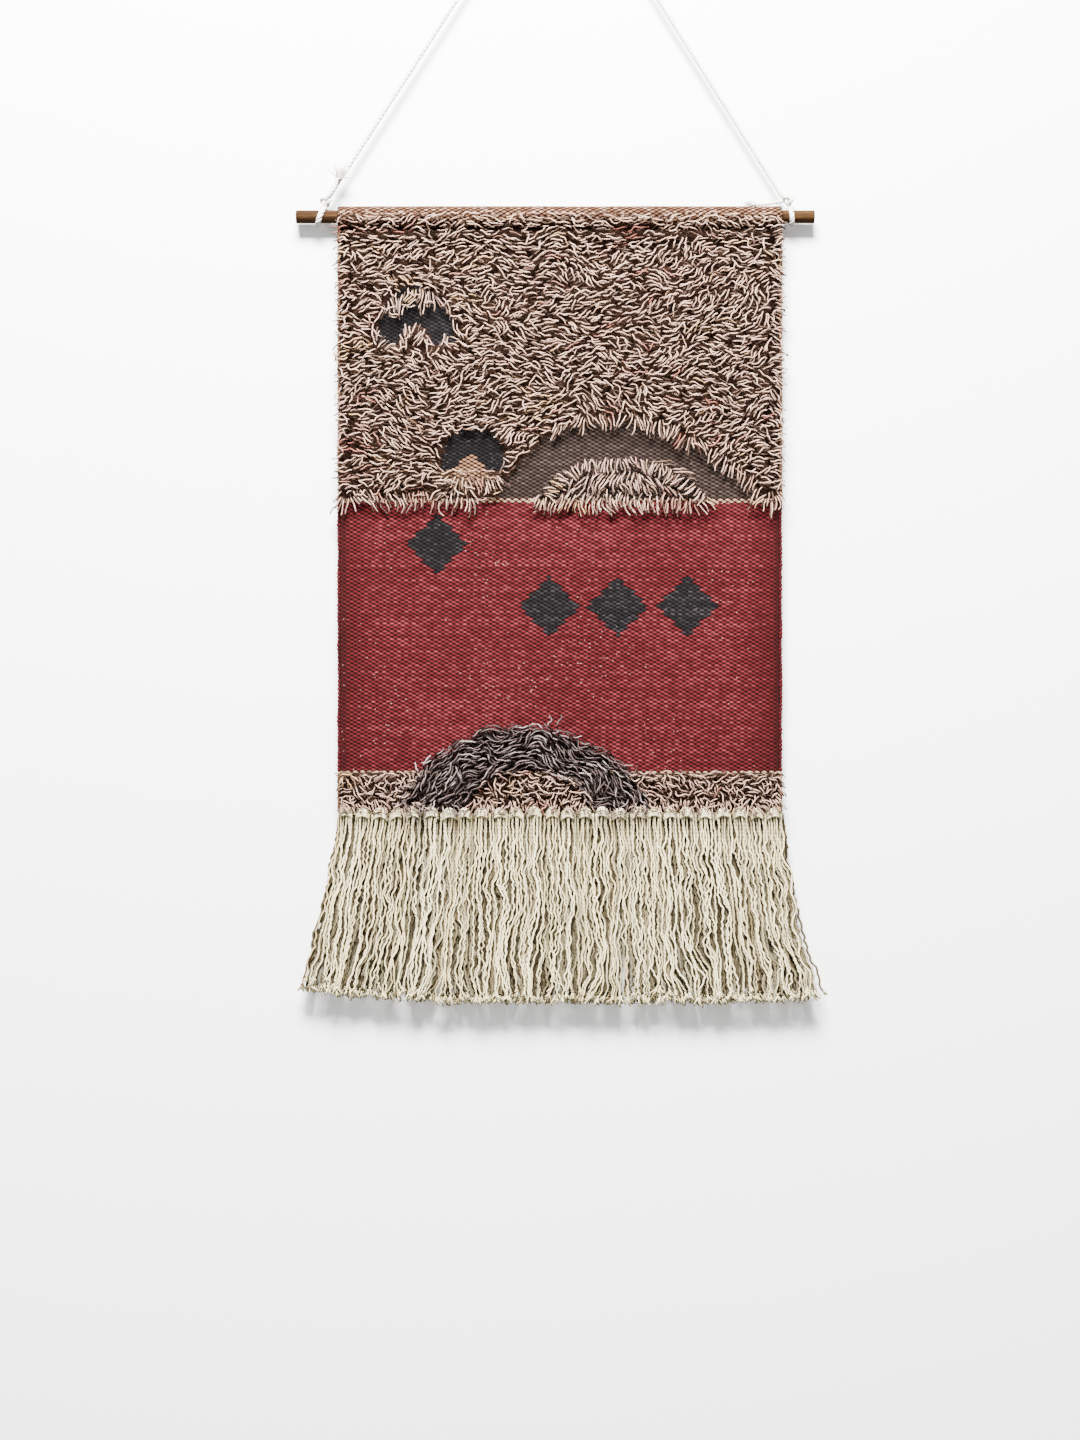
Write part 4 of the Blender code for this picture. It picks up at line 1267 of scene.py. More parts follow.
# Where no pile covers the cloth, as (x, z)
UPPER_BARE = (
    (-0.197, -0.515), (-0.176, -0.521), (-0.174, -0.512), (-0.165, -0.508), (-0.159, -0.515),
    (-0.150, -0.512), (-0.132, -0.510), (-0.124, -0.520), (-0.120, -0.530), (-0.123, -0.539),
    (-0.129, -0.537), (-0.135, -0.547), (-0.144, -0.543), (-0.151, -0.532), (-0.160, -0.525),
    (-0.185, -0.526), (-0.177, -0.537), (-0.187, -0.545), (-0.202, -0.532),
)
LOWER_BARE = (
    (-0.129, -0.664), (-0.130, -0.689), (-0.120, -0.685), (-0.087, -0.687), (-0.079, -0.686),
    (-0.069, -0.691), (-0.064, -0.680), (-0.064, -0.666), (-0.071, -0.653), (-0.080, -0.645),
    (-0.112, -0.645), (-0.120, -0.653),
)


def cloth_front(z):
    """How far forward the cloth is, which is more over the rod pocket."""
    share = np.clip((z + 0.425) / 0.013, 0, 1)
    return CLOTH_FRONT_Y - POCKET_STANDS_OUT * share * share * (3 - 2 * share)


def swirl_at(swirl, x, z):
    return sum(strength * smooth_noise(seed, x, z, size) for seed, size, strength in swirl)


def trace_strands(x, z, heading, length, lift, rng, swirl, wiggle, droop, tip):
    """Paths of loose yarns from their roots. Each follows its heading, the swirl and its own wiggle.

    length and lift are each a least and a most. lift is how far a yarn stands in front of the cloth
    along its middle, and tip how far its end turns in.
    """
    count = len(x)
    length = rng.uniform(*length, count)
    lift = rng.uniform(*lift, count)
    step = length / (STRAND_POINTS - 1)
    phase = rng.uniform(0, 2 * np.pi, count)
    waves = length / rng.uniform(0.009, 0.016, count)
    amount = wiggle * rng.uniform(0.4, 1.2, count)
    points = np.empty((count, STRAND_POINTS, 3))
    bumps = rng.uniform(0, 2 * np.pi, count)
    for k in range(STRAND_POINTS):
        share = k / (STRAND_POINTS - 1)
        rise = np.sin(min(share / 0.22, 1.0) * np.pi / 2)
        depth = lift * rise * (1 - tip * max(share - 0.6, 0) / 0.4)
        depth = depth + 0.0007 * np.sin(bumps + share * waves * 5) * rise
        points[:, k, 0] = x
        points[:, k, 1] = cloth_front(z) - ROOT_DEPTH - np.maximum(depth, 0.0)
        points[:, k, 2] = z
        turn = heading + amount * np.sin(phase + share * waves * 2 * np.pi) + swirl_at(swirl, x, z)
        x = x + step * np.cos(turn)
        z = z + step * np.sin(turn)
        heading = heading + droop * np.sin(DOWN - heading) / STRAND_POINTS
    return points


def strand_sizes(count, rng):
    """Radii along each yarn: thin at the root and slightly open at the cut end."""
    share = np.linspace(0, 1, STRAND_POINTS)[None]
    along = 0.72 + 0.28 * np.clip(share / 0.15, 0, 1) + 0.10 * np.clip((share - 0.9) / 0.1, 0, 1)
    return STRAND_RADIUS * along * rng.uniform(0.82, 1.15, (count, 1))


def shade_by_lift(points):
    """Painted shade: dark near the cloth, under the other yarns, and bright where a yarn stands forward."""
    depth = cloth_front(points[..., 2]) - points[..., 1]
    share = np.clip(depth / BRIGHT_LIFT, 0, 1)
    return ROOT_LIGHT * share + (1 - ROOT_LIGHT) * share**2


def outside_bare(points, bares, rng, reach=0.0028, share=0.35):
    """Which yarns stay off the bare areas. The tips of a share of them reach a little way in."""
    count = len(points)
    allowed = np.where(rng.uniform(0, 1, count) < share, rng.uniform(0, reach, count), -0.0006)
    keep = np.ones(count, dtype=bool)
    for outline in bares:
        depth = depth_inside(outline, points[..., 0], points[..., 2])
        keep &= depth[:, :-2].max(axis=1) < -0.0006
        keep &= depth[:, -2:].max(axis=1) < allowed
    return keep


def side_by_side(points, spacing):
    """Which yarns lie clear of the ones already chosen, apart from a small share of their length."""
    cell = 0.0007
    between = (points[:, :-1] + points[:, 1:]) / 2
    route = np.concatenate([points, between], axis=1)[..., [0, 2]]
    low = route.reshape(-1, 2).min(axis=0) - 0.01
    cells = ((route - low) / cell).astype(int)
    taken = np.zeros(cells.reshape(-1, 2).max(axis=0) + 20, dtype=bool)
    reach = spacing / cell
    step = np.arange(-int(reach), int(reach) + 1)
    across, down = (grid.ravel() for grid in np.meshgrid(step, step))
    close = across**2 + down**2 <= reach**2
    across, down = across[close], down[close]
    keep = np.zeros(len(points), dtype=bool)
    for k, (i, j) in enumerate(zip(cells[..., 0], cells[..., 1], strict=True)):
        if taken[i, j].mean() <= CROWDING:
            keep[k] = True
            taken[i[:, None] + across, j[:, None] + down] = True
    return keep


def lay_yarns(candidates, spacing=SPACING):
    """One layer of pile, chosen from groups of candidate yarns with the most important first."""
    points = np.concatenate(candidates)
    return points[side_by_side(points, spacing)]


def rose_tones(x, z, rng):
    """Mostly dusty pink, in patches rosier or more golden."""
    patch = 0.13 * smooth_noise(ROSE_SEED, x, z, 0.05) + 0.10 * smooth_noise(ROSE_SEED + 1, x, z, 0.02)
    tone = 0.52 + patch + rng.normal(0, 0.085, len(x))
    rare = smooth_noise(ROSE_SEED + 2, x, z, 0.016)
    tone = np.where(rare > 0.62, tone - 0.33, tone)
    tone = np.where(rare < -0.62, tone + 0.30, tone)
    return np.clip(tone, 0.0, 1.0)


def dark_tones(x, z, rng):
    return np.clip(0.40 + 0.15 * smooth_noise(35, x, z, 0.02) + rng.normal(0, 0.2, len(x)), 0, 1)


PILE_CUTS = (-0.450, -0.500, -0.550, -0.600, -0.655)  # between the upper pile's pieces, from the top down
PILE_YARNS = {"rose_pile": (ROSE_YARN, rose_tones), "dark_pile": (DARK_YARN, dark_tones)}


def either_way(count, rng):
    """Headings of yarns that lie along a field, at random one way or the other."""
    return np.where(rng.uniform(0, 1, count) < 0.5, 0.0, np.pi)


def spaced_row(start, end, spacing, shift, rng):
    """Evenly spaced places from start to end, moved along together by a random amount."""
    return np.arange(start, end, spacing) + rng.uniform(-shift, shift)


def lowest(points):
    return points[..., 2].min(axis=1)


def highest(points):
    return points[..., 2].max(axis=1)


def past_sides(points):
    """How far each yarn reaches past the side of the pile, at most."""
    return np.maximum(PILE_LEFT - points[..., 0], points[..., 0] - PILE_RIGHT).max(axis=1)


def pile_part(name, nodes, layers, rng, slot="rose_pile"):
    """One piece of pile from layers of (points, brightness), whose brightness is painted shade."""
    material, tone_source = PILE_YARNS[slot]
    paths = np.concatenate([points for points, _ in layers])
    bright = np.concatenate([np.full(len(points), share) for points, share in layers])
    radii = strand_sizes(len(paths), rng)
    tones = tone_source(paths[:, 0, 0], paths[:, 0, 2], rng)
    vary = rng.uniform(0.80, 1.05, len(paths))
    # painted shade: darker near the cloth and on the lower layers
    shades = np.clip(shade_by_lift(paths) * (bright * vary)[:, None], 0, 1)
    mesh = yarn_mesh(name, paths, radii, tones, shades, 5)
    return add_piece(name, mesh, material, "panel", nodes)


def field_yarns(count, box, length, lift, swirl, rng, spread=0.15, wiggle=0.14):
    """Candidate yarns all over a box, lying along the swirl one way or the other."""
    left, right, bottom, top = box
    x = rng.uniform(left, right, count)
    z = rng.uniform(bottom, top, count)
    heading = either_way(count, rng) + rng.normal(0, spread, count)
    return trace_strands(x, z, heading, length, lift, rng, swirl, wiggle, 0.0, 0.25)


def upper_keep(points, bares, rng):
    """Which candidates stay on the upper pile's field. Those that hang over its bottom edge come later."""
    count = len(points)
    keep = outside_bare(points, bares, rng)
    keep &= past_sides(points) < rng.uniform(0.001, 0.0085, count)
    keep &= highest(points) < POCKET_TOP + rng.uniform(-0.003, 0.0035, count)
    return keep & (lowest(points) > RED_TOP + rng.uniform(0.001, 0.008, count))


def upper_pile_layers(rng):
    """The pile over the whole upper field, from the cloth outwards, as (points, brightness of painted
    shade).
    """
    bares = [UPPER_BARE, LOWER_BARE, above_red(HILL)]
    box = (PILE_LEFT - 0.006, PILE_RIGHT + 0.006, -0.724, -0.402)
    groups = upper_edge_yarns(rng, (0.0035, 0.0062))
    points = field_yarns(22000, box, (0.011, 0.022), (0.0030, 0.0060), UNDER_SWIRL, rng)
    groups.append(points[upper_keep(points, bares, rng)])
    layers = [(lay_yarns(groups), UPPER_DIM)]
    groups = upper_edge_yarns(rng, (0.0070, 0.0100))
    for count, length in ((22000, (0.013, 0.023)), (26000, (0.007, 0.012))):
        points = field_yarns(count, box, length, (0.0070, 0.0092), MAIN_SWIRL, rng, 0.3, 0.35)
        groups.append(points[upper_keep(points, bares, rng)])
    layers.append((lay_yarns(groups), UPPER_BRIGHT))
    points = field_yarns(5000, box, (0.012, 0.022), (0.0096, 0.0118), MAIN_SWIRL, rng, 0.55, 0.5)
    layers.append((lay_yarns([points[upper_keep(points, bares, rng)]], 0.0048), UPPER_BRIGHT))
    return layers


def edge_yarns(x, z, heading, rng, length, lift=(0.0065, 0.0100), wiggle=0.2, droop=0.0):
    return trace_strands(x, z, heading, length, lift, rng, EDGE_SWIRL, wiggle, droop, 0.15)


def rays(outline, spacing, reach, spread, rng, **settings):
    """Yarns rooted just outside a stretch of outline, whose ends point across it."""
    x, z, along = along_outline(outline, spacing, rng)
    across = along + DOWN
    back = rng.uniform(*reach, len(x))
    x = x - back * np.cos(across)
    z = z - back * np.sin(across)
    heading = across + rng.normal(0, spread, len(x))
    return edge_yarns(x, z, heading, rng, **settings)


def upper_edge_yarns(rng, lift):
    """The rows of yarn ends along the upper pile's edges and round its bare motifs."""
    groups = []
    hill = above_red(HILL)
    bares = [UPPER_BARE, LOWER_BARE]
    for _ in range(3):
        x = spaced_row(-0.207, -0.114, 0.0022, 0.001, rng)
        off = x - UPPER_ARCH[0][0]
        z = -0.483 - 0.75 * off**2 / UPPER_ARCH[1][0] + rng.uniform(-0.005, 0.005, len(x))
        points = edge_yarns(x, z, DOWN + off * 4, rng, length=(0.018, 0.027), lift=lift)
        groups.append(points[outside_bare(points, bares, rng, 0.006, 0.7)])
    for outline in (UPPER_BARE, LOWER_BARE):
        closed = [*outline, outline[0]]
        for _ in range(3):
            points = rays(closed, 0.0022, (0.011, 0.018), 0.15, rng, length=(0.012, 0.019), lift=lift)
            groups.append(points[outside_bare(points, bares, rng, 0.0025, 0.6)])
    for _ in range(4):
        x = rng.uniform(-0.128, -0.068, 40)
        z = -0.697 + rng.uniform(-0.004, 0.004, len(x))
        fan = DOWN + (x + 0.099) * 38 + rng.normal(0, 0.15, len(x))
        groups.append(edge_yarns(x, z, fan, rng, length=(0.012, 0.022), lift=lift))
    for _ in range(4):
        hanging = {"length": (0.014, 0.022), "droop": 1.2, "lift": lift}
        groups.append(rays(hill[18:], 0.0026, (0.005, 0.014), 0.15, rng, **hanging))
    for left, right in ((PILE_LEFT, -0.094), (0.214, PILE_RIGHT)):
        for _ in range(7):
            x = spaced_row(left, right, 0.0026, 0.0012, rng)
            z = RED_TOP + rng.uniform(0.001, 0.016, len(x))
            heading = DOWN + rng.normal(0, 0.15, len(x))
            groups.append(edge_yarns(x, z, heading, rng, length=(0.012, 0.021), lift=lift))
    for side, at in ((-1, PILE_LEFT), (1, PILE_RIGHT)):
        for _ in range(7):
            z = spaced_row(-0.722, -0.412, 0.0032, 0.0015, rng)
            x = at - side * rng.uniform(0.000, 0.012, len(z))
            heading = (0.0 if side > 0 else np.pi) - side * 0.35 + rng.normal(0, 0.3, len(z))
            points = edge_yarns(x, z, heading, rng, length=(0.011, 0.020), lift=lift, wiggle=0.4)
            past = (side * (points[..., 0] - at)).max(axis=1)
            groups.append(points[past < rng.uniform(0.003, 0.0125, len(z))])
    return groups


def mound_layers(rng):
    """Pile of the mound in the hill. Its yarns fan out from the top middle and hang over the red."""
    outline = above_red(MOUND)
    layers = []
    rim = outline[2:-2]
    for lift, bright, spacing in MOUND_LAYERS:
        groups = []
        for _ in range(4):
            groups.append(rays(rim, 0.0026, (-0.001, 0.007), 0.2, rng, length=(0.012, 0.019), lift=lift))
        for _ in range(6):
            x = spaced_row(-0.018, 0.166, 0.0026, 0.0012, rng)
            z = RED_TOP + rng.uniform(-0.002, 0.012, len(x))
            heading = DOWN + (x - 0.07) * 5 + rng.normal(0, 0.15, len(x))
            points = edge_yarns(x, z, heading, rng, length=(0.011, 0.019), lift=lift)
            groups.append(points[lowest(points) > RED_TOP - 0.0165])
        for length in ((0.016, 0.025), (0.009, 0.014)):
            x = rng.uniform(-0.022, 0.168, 3000)
            z = rng.uniform(RED_TOP, RED_TOP + 0.047, 3000)
            keep = depth_inside(outline, x, z) > -0.004
            x, z = x[keep], z[keep]
            heading = np.arctan2(z - (RED_TOP + 0.085), (x - 0.07) * 1.1) + rng.normal(0, 0.2, len(x))
            points = trace_strands(x, z, heading, length, lift, rng, MOUND_SWIRL, 0.15, 0.3, 0.3)
            groups.append(points[lowest(points) > RED_TOP - rng.uniform(0.008, 0.0165, len(x))])
        layers.append((lay_yarns(groups, spacing), bright))
    return layers


def make_upper_pile():
    """The upper pile, cut into pieces by the height of each yarn's root, and the mound."""
    rng = np.random.default_rng(101)
    everything = upper_pile_layers(rng)
    tops, bottoms = (np.inf, *PILE_CUTS), (*PILE_CUTS, -np.inf)
    for letter, top, bottom in zip("abcdef", tops, bottoms, strict=True):
        layers = []
        for points, bright in everything:
            root = points[:, 0, 2]
            layers.append((points[(root <= top) & (root > bottom)], bright))
        nodes = ["upper_pile", "pocket_pile"] if letter == "a" else ["upper_pile"]
        pile_part(f"upper_pile_{letter}", nodes, layers, rng)
    rng = np.random.default_rng(102)
    pile_part("mound_pile_yarns", ["mound_pile"], mound_layers(rng), rng)


def arch_edge_yarns(outer, rng):
    """The ends along the top of the dark arch, the feet that hang over the knots, and three stray yarns."""
    groups = []
    for _ in range(3):
        x, z, along = along_outline(outer[4:-4], 0.0040, rng)
        z = z - rng.uniform(0.001, 0.004, len(z))
        heading = along + either_way(len(x), rng) + rng.normal(0, 0.3, len(x))
        groups.append(edge_yarns(x, z, heading, rng, length=(0.010, 0.018), wiggle=0.5))
    for left, right in ((-0.176, -0.110), (0.048, 0.102)):
        for _ in range(4):
            x = spaced_row(left, right, 0.0034, 0.001, rng)
            z = -1.063 + rng.uniform(-0.006, 0.008, len(x))
            heading = DOWN + rng.normal(0, 0.45, len(x))
            foot = edge_yarns(x, z, heading, rng, length=(0.010, 0.020), lift=(0.0098, 0.0125), wiggle=0.5)
            groups.append(foot)
    x = np.array([-0.0112, -0.0020, -0.105])
    z = np.array([-0.9775, -0.9770, -0.9900])
    heading = np.array([2.2, 1.2, 2.0])
    groups.append(edge_yarns(x, z, heading, rng, length=(0.016, 0.018), wiggle=1.6))
    return groups


def make_arch_pile():
    """The dark arch, whose yarns lie along it one way or the other."""
    rng = np.random.default_rng(103)
    outer = smooth_outline(BIG_ARCH)
    inner = half_ellipse(*BIG_ARCH_INNER)
    outline = np.concatenate([outer, inner[::-1]])
    layers = []
    for number, (lift, bright, spacing) in enumerate(ARCH_LAYERS):
        groups = arch_edge_yarns(outer, rng) if number == 2 else []
        for length in ((0.015, 0.027), (0.009, 0.014)):
            x = rng.uniform(-0.186, 0.108, 6000)
            z = rng.uniform(BAND_BOTTOM - 0.002, -0.974, 6000)
            keep = depth_inside(outline, x, z) > -0.001
            x, z = x[keep], z[keep]
            heading = 0.95 * np.clip((-0.04 - x) / 0.11, -1, 1) + either_way(len(x), rng)
            heading = heading + rng.normal(0, 0.3, len(x))
            points = trace_strands(x, z, heading, length, lift, rng, ARCH_SWIRL, 0.25, 0.1, 0.3)
            out = -depth_inside(outline, points[..., 0], points[..., 2]).min(axis=1)
            groups.append(points[out < rng.uniform(0.001, 0.005, len(x))])
        layers.append((lay_yarns(groups, spacing), bright))
    pile_part("arch_pile_yarns", ["arch_pile"], layers, rng, "dark_pile")


def off_outline(points, outline):
    """Which yarns stay off an outline, or all of them where there is none."""
    if outline is None:
        return np.ones(len(points), dtype=bool)
    return depth_inside(outline, points[..., 0], points[..., 2]).max(axis=1) < 0.006


def band_layers(rng, left, right, keep_out):
    """Short pile along the bottom edge, hanging and fanned. keep_out is an outline to stay off."""
    layers = []
    for lift, bright, spacing in BAND_LAYERS:
        groups = []
        if spacing < LOOSE_SPACING:
            for _ in range(6):
                x = spaced_row(left, right, 0.0030, 0.001, rng)
                z = BAND_BOTTOM + rng.uniform(0.000, 0.011, len(x))
                heading = DOWN + rng.normal(0, 0.35, len(x))
                points = edge_yarns(x, z, heading, rng, length=(0.007, 0.014))
                groups.append(points[off_outline(points, keep_out)])
        for length in ((0.012, 0.020), (0.007, 0.011)):
            count = 5000
            x = rng.uniform(left, right, count)
            z = rng.uniform(BAND_BOTTOM + 0.001, RED_BOTTOM - 0.001, count)
            to_right = rng.uniform(0, 1, count) < 0.5
            heading = np.where(to_right, -0.5, -np.pi + 0.5) + rng.normal(0, 0.3, count)
            points = trace_strands(x, z, heading, length, lift, rng, BAND_SWIRL, 0.45, 0.4, 0.3)
            keep = lowest(points) > BAND_BOTTOM - rng.uniform(0.002, 0.012, count)
            keep &= highest(points) < RED_BOTTOM + 0.003 - 0.006 * rng.uniform(0, 1, count) ** 0.5
            keep &= off_outline(points, keep_out)
            keep &= past_sides(points) < rng.uniform(0.002, 0.010, count)
            groups.append(points[keep])
        layers.append((lay_yarns(groups, spacing), bright))
    return layers


def make_bottom_piles():
    """The bottom band on each side of the dark arch, and the mound inside it."""
    arch = smooth_outline(BIG_ARCH)
    for seed, word, left, right in ((104, "left", PILE_LEFT, -0.158), (105, "right", 0.086, PILE_RIGHT)):
        rng = np.random.default_rng(seed)
        layers = band_layers(rng, left, right, arch)
        pile_part(f"bottom_pile_{word}_yarns", [f"bottom_pile_{word}"], layers, rng)
    rng = np.random.default_rng(106)
    x0, foot, half, height = BIG_ARCH_INNER
    layers = []
    inner = half_ellipse(x0, foot, half, height)
    for points, bright in band_layers(rng, x0 - half, x0 + half, None):
        out = -depth_inside(inner, points[..., 0], points[..., 2])
        above = np.where(points[..., 2] > foot, out, -1.0).max(axis=1)
        layers.append((points[above < rng.uniform(0.001, 0.006, len(points))], bright))
    pile_part("bottom_pile_mound_yarns", ["bottom_pile_mound"], layers, rng)


# ---------------------------------------------------------------------------------------------
# Fringe
# ---------------------------------------------------------------------------------------------
BUNDLES = 26
FRONT_YARNS = 6
YARNS = 26
FRINGE_POINTS = 54
FRINGE_TOP = HEADER_Z + 0.001
FRINGE_LENGTH = 0.2070
FRINGE_FLARE = 0.035  # how much wider each half is at the ends of the yarns
FRINGE_FORWARD = 0.0085  # how much further from the wall the ends hang
FRINGE_RADIUS = 0.00118
FRINGE_SHIFT = 0.0006  # how far the fringe's middle sits to the right
FRAYED_PLIES = 4
FRAYED_RADIUS = 0.0008
FRINGE_LOWEST = HEADER_Z - 0.2165
FRINGE_BACK_Y = -0.0022  # the nearest that a yarn comes to the wall
FRAYED_BACK_Y = -0.0016
KNOT_PUSH = 0.0045  # how far the front yarns stand out where they leave the knots
KNOT_FRONT_Y = HANG_Y - 0.0074
KNOT_TOP_Z = HEADER_Z + 0.0072
KNOT_YARN_STEP = 0.0025
KNOT_YARN_RADIUS = 0.0016
KNOT_SHADES = (1.0, 1.0, 1.0, 0.8)  # painted shade of the yarns across a knot, from the top one down
BUNDLE_GROUPS = (("left", 0, 9), ("middle", 9, 17), ("right", 17, 26))


def fringe_half_width(share):
    return 0.25 + FRINGE_FLARE * (0.6 * share + 0.4 * share * share)


def place_yarns(rng):
    """Each yarn's bundle, its place across it, whether it is in the front row, and its layer.

    The layers run from -1 at the front of a bundle to 1 at its back.
    """
    count = BUNDLES * YARNS
    bundle = np.repeat(np.arange(BUNDLES), YARNS)
    number = np.tile(np.arange(YARNS), BUNDLES)
    front_row = number < FRONT_YARNS
    behind = (number - FRONT_YARNS + 0.5) / (YARNS - FRONT_YARNS) * 3 % 1.0
    place = np.where(front_row, (number + 0.5) / FRONT_YARNS, behind) - 0.5
    place = place + rng.uniform(-0.05, 0.05, count)
    layer = np.where(front_row, rng.uniform(-1.0, -0.5, count), rng.uniform(-0.25, 1.0, count))
    return bundle, place, front_row, layer


def yarn_lengths(rng, middle, front_row):
    """How far each yarn hangs: unevenly, and less towards both sides of the fringe."""
    count = len(middle)
    uneven = np.where(front_row, 0.055, 0.025) * rng.uniform(0, 1, count) ** 2.5
    length = FRINGE_LENGTH * (1 - uneven - 0.012 * rng.uniform(0, 1, count))
    length -= 0.013 * np.clip((-0.10 - middle) / 0.15, 0, 1) + 0.005 * np.clip((middle - 0.17) / 0.08, 0, 1)
    length += 0.003 * smooth_noise(48, middle, 0 * middle, 0.03)
    return length


def wave_yarns(rng, x, share, fade):
    """The yarns' slow waves and their crimp, which tufts of yarns share."""
    count = len(x)
    drift = rng.normal(0, 1, (count, 3))
    for k in range(3):
        wave = rng.uniform(1.2, 5.5, count)[:, None] * (k + 1)
        phase = rng.uniform(0, 2 * np.pi, count)[:, None]
        size = 0.0017 / (k + 1) ** 0.9
        x = x + fade * size * drift[:, k : k + 1] * np.sin(np.pi * share * wave + phase)
    crimp = rng.uniform(0.0004, 0.0011, count)[:, None] * fade
    turns = FRINGE_LENGTH / rng.uniform(0.009, 0.015, count)[:, None]
    phase = rng.uniform(0, 2 * np.pi, count)[:, None] + 2.5 * smooth_noise(47, x, share * 0.2 + 0 * x, 0.02)
    return x + crimp * np.sin(2 * np.pi * turns * share + phase)


def loosen_ends(rng, x, share, fade, bundle, front_row):
    """The yarns drift apart towards their ends, in tufts, and most of all at the fringe's two sides."""
    outermost = np.abs(bundle - (BUNDLES - 1) / 2)[:, None] / (BUNDLES / 2)
    flyaway = 0.0044 + 0.0035 * np.clip((outermost - 0.85) / 0.15, 0, 1)
    loose = np.where(front_row[:, None], flyaway, 0.0070)
    x = x + share**2.5 * np.clip(rng.normal(0, 1, len(x)), -1.6, 1.6)[:, None] * loose
    x = x + share * smooth_noise(45, x, share * 0.2 + 0 * x, 0.03) * 0.006
    return x + fade * smooth_noise(49, x, share * 0.2 + 0 * x, 0.014) * 0.0022


def fringe_paths(rng):
    """The hanging yarns of every bundle: an even front row, and others filling in behind it."""
    bundle, place, front_row, layer = place_yarns(rng)
    count = len(bundle)
    share = np.linspace(0, 1, FRINGE_POINTS)[None]
    fade = np.clip(share * 5, 0, 1)
    pitch = 2 * fringe_half_width(share) / BUNDLES
    centre = (bundle[:, None] - (BUNDLES - 1) / 2) * pitch + FRINGE_SHIFT
    spread = 0.94 + 0.06 * np.clip(share / 0.10, 0, 1) + 0.25 * share**2
    gather = 1 - 0.10 * np.sin(np.pi * np.clip(share / 0.5, 0, 1))
    length = yarn_lengths(rng, centre[:, 0], front_row)
    x = wave_yarns(rng, centre + place[:, None] * pitch * spread * gather, share, fade)
    x = loosen_ends(rng, x, share, fade, bundle, front_row)
    turns = share * rng.uniform(1.5, 4.0, count)[:, None] + rng.uniform(0, 1, count)[:, None]
    y = HANG_Y + layer[:, None] * (0.0038 + 0.0022 * share) + 0.0007 * fade * np.sin(2 * np.pi * turns)
    y = y - FRINGE_FORWARD * share**1.3
    y = y - KNOT_PUSH * front_row[:, None] * np.clip(1 - share / 0.12, 0, 1) ** 1.5
    y = np.minimum(y, FRINGE_BACK_Y)
    z = FRINGE_TOP - share * length[:, None] + 0 * x
    return np.stack([x, y, z], axis=-1), layer, bundle


def frayed_ends(paths, rng):
    """The loosened plies at each yarn's cut end."""
    tip = np.repeat(paths[:, -1], FRAYED_PLIES, axis=0)
    along = np.repeat(unit(paths[:, -1] - paths[:, -3]), FRAYED_PLIES, axis=0)
    count = len(tip)
    t = np.linspace(0, 1, 6)[None, :, None]
    heading = unit(along + rng.normal(0, 0.28, (count, 3)) * [1.0, 0.4, 0.6])
    bend = rng.normal(0, 0.5, (count, 3)) * [1.0, 0.3, 0.5]
    length = rng.uniform(0.005, 0.0105, (count, 1, 1))
    route = t * heading[:, None] + 0.5 * t * t * bend[:, None]
    points = tip[:, None] - heading[:, None] * 0.002 + length * route
    points[..., 1] = np.minimum(points[..., 1], FRAYED_BACK_Y)
    points[..., 2] = np.maximum(points[..., 2], FRINGE_LOWEST)
    return points


def depth_shade(out):
    """Painted shade of a fringe yarn, from 0 in the middle of its bundle to 1 at the side that is looked
    at.
    """
    return 0.022 + 1.75 * out**4.2


def knot_paths(rng):
    """Each bundle's knot: a few yarns across its front, each an arch with its ends tucked in."""
    groups = []
    for bundle in range(BUNDLES):
        pitch = 2 * fringe_half_width(0.0) / BUNDLES
        centre = (bundle - (BUNDLES - 1) / 2) * pitch + FRINGE_SHIFT + rng.normal(0, 0.0008)
        width = pitch * rng.uniform(0.36, 0.45)
        drop = rng.uniform(0.0044, 0.0072)
        lift = rng.uniform(-0.0010, 0.0010)
        tilt = rng.normal(0, 0.0008)
        for k in range(len(KNOT_SHADES)):
            t = np.linspace(-1, 1, 15)
            x = centre + width * t * (1 + 0.05 * k)
            y = KNOT_FRONT_Y - 0.0010 * (1 - t**4) - 0.0004 * math.sin(k * 1.7) + 0.0089 * np.abs(t) ** 5
            z = KNOT_TOP_Z - KNOT_YARN_STEP * k - drop * t**2 + lift + tilt * t + rng.normal(0, 0.0003)
            groups.append(np.stack([x, y, z], axis=-1))
    return np.stack(groups)


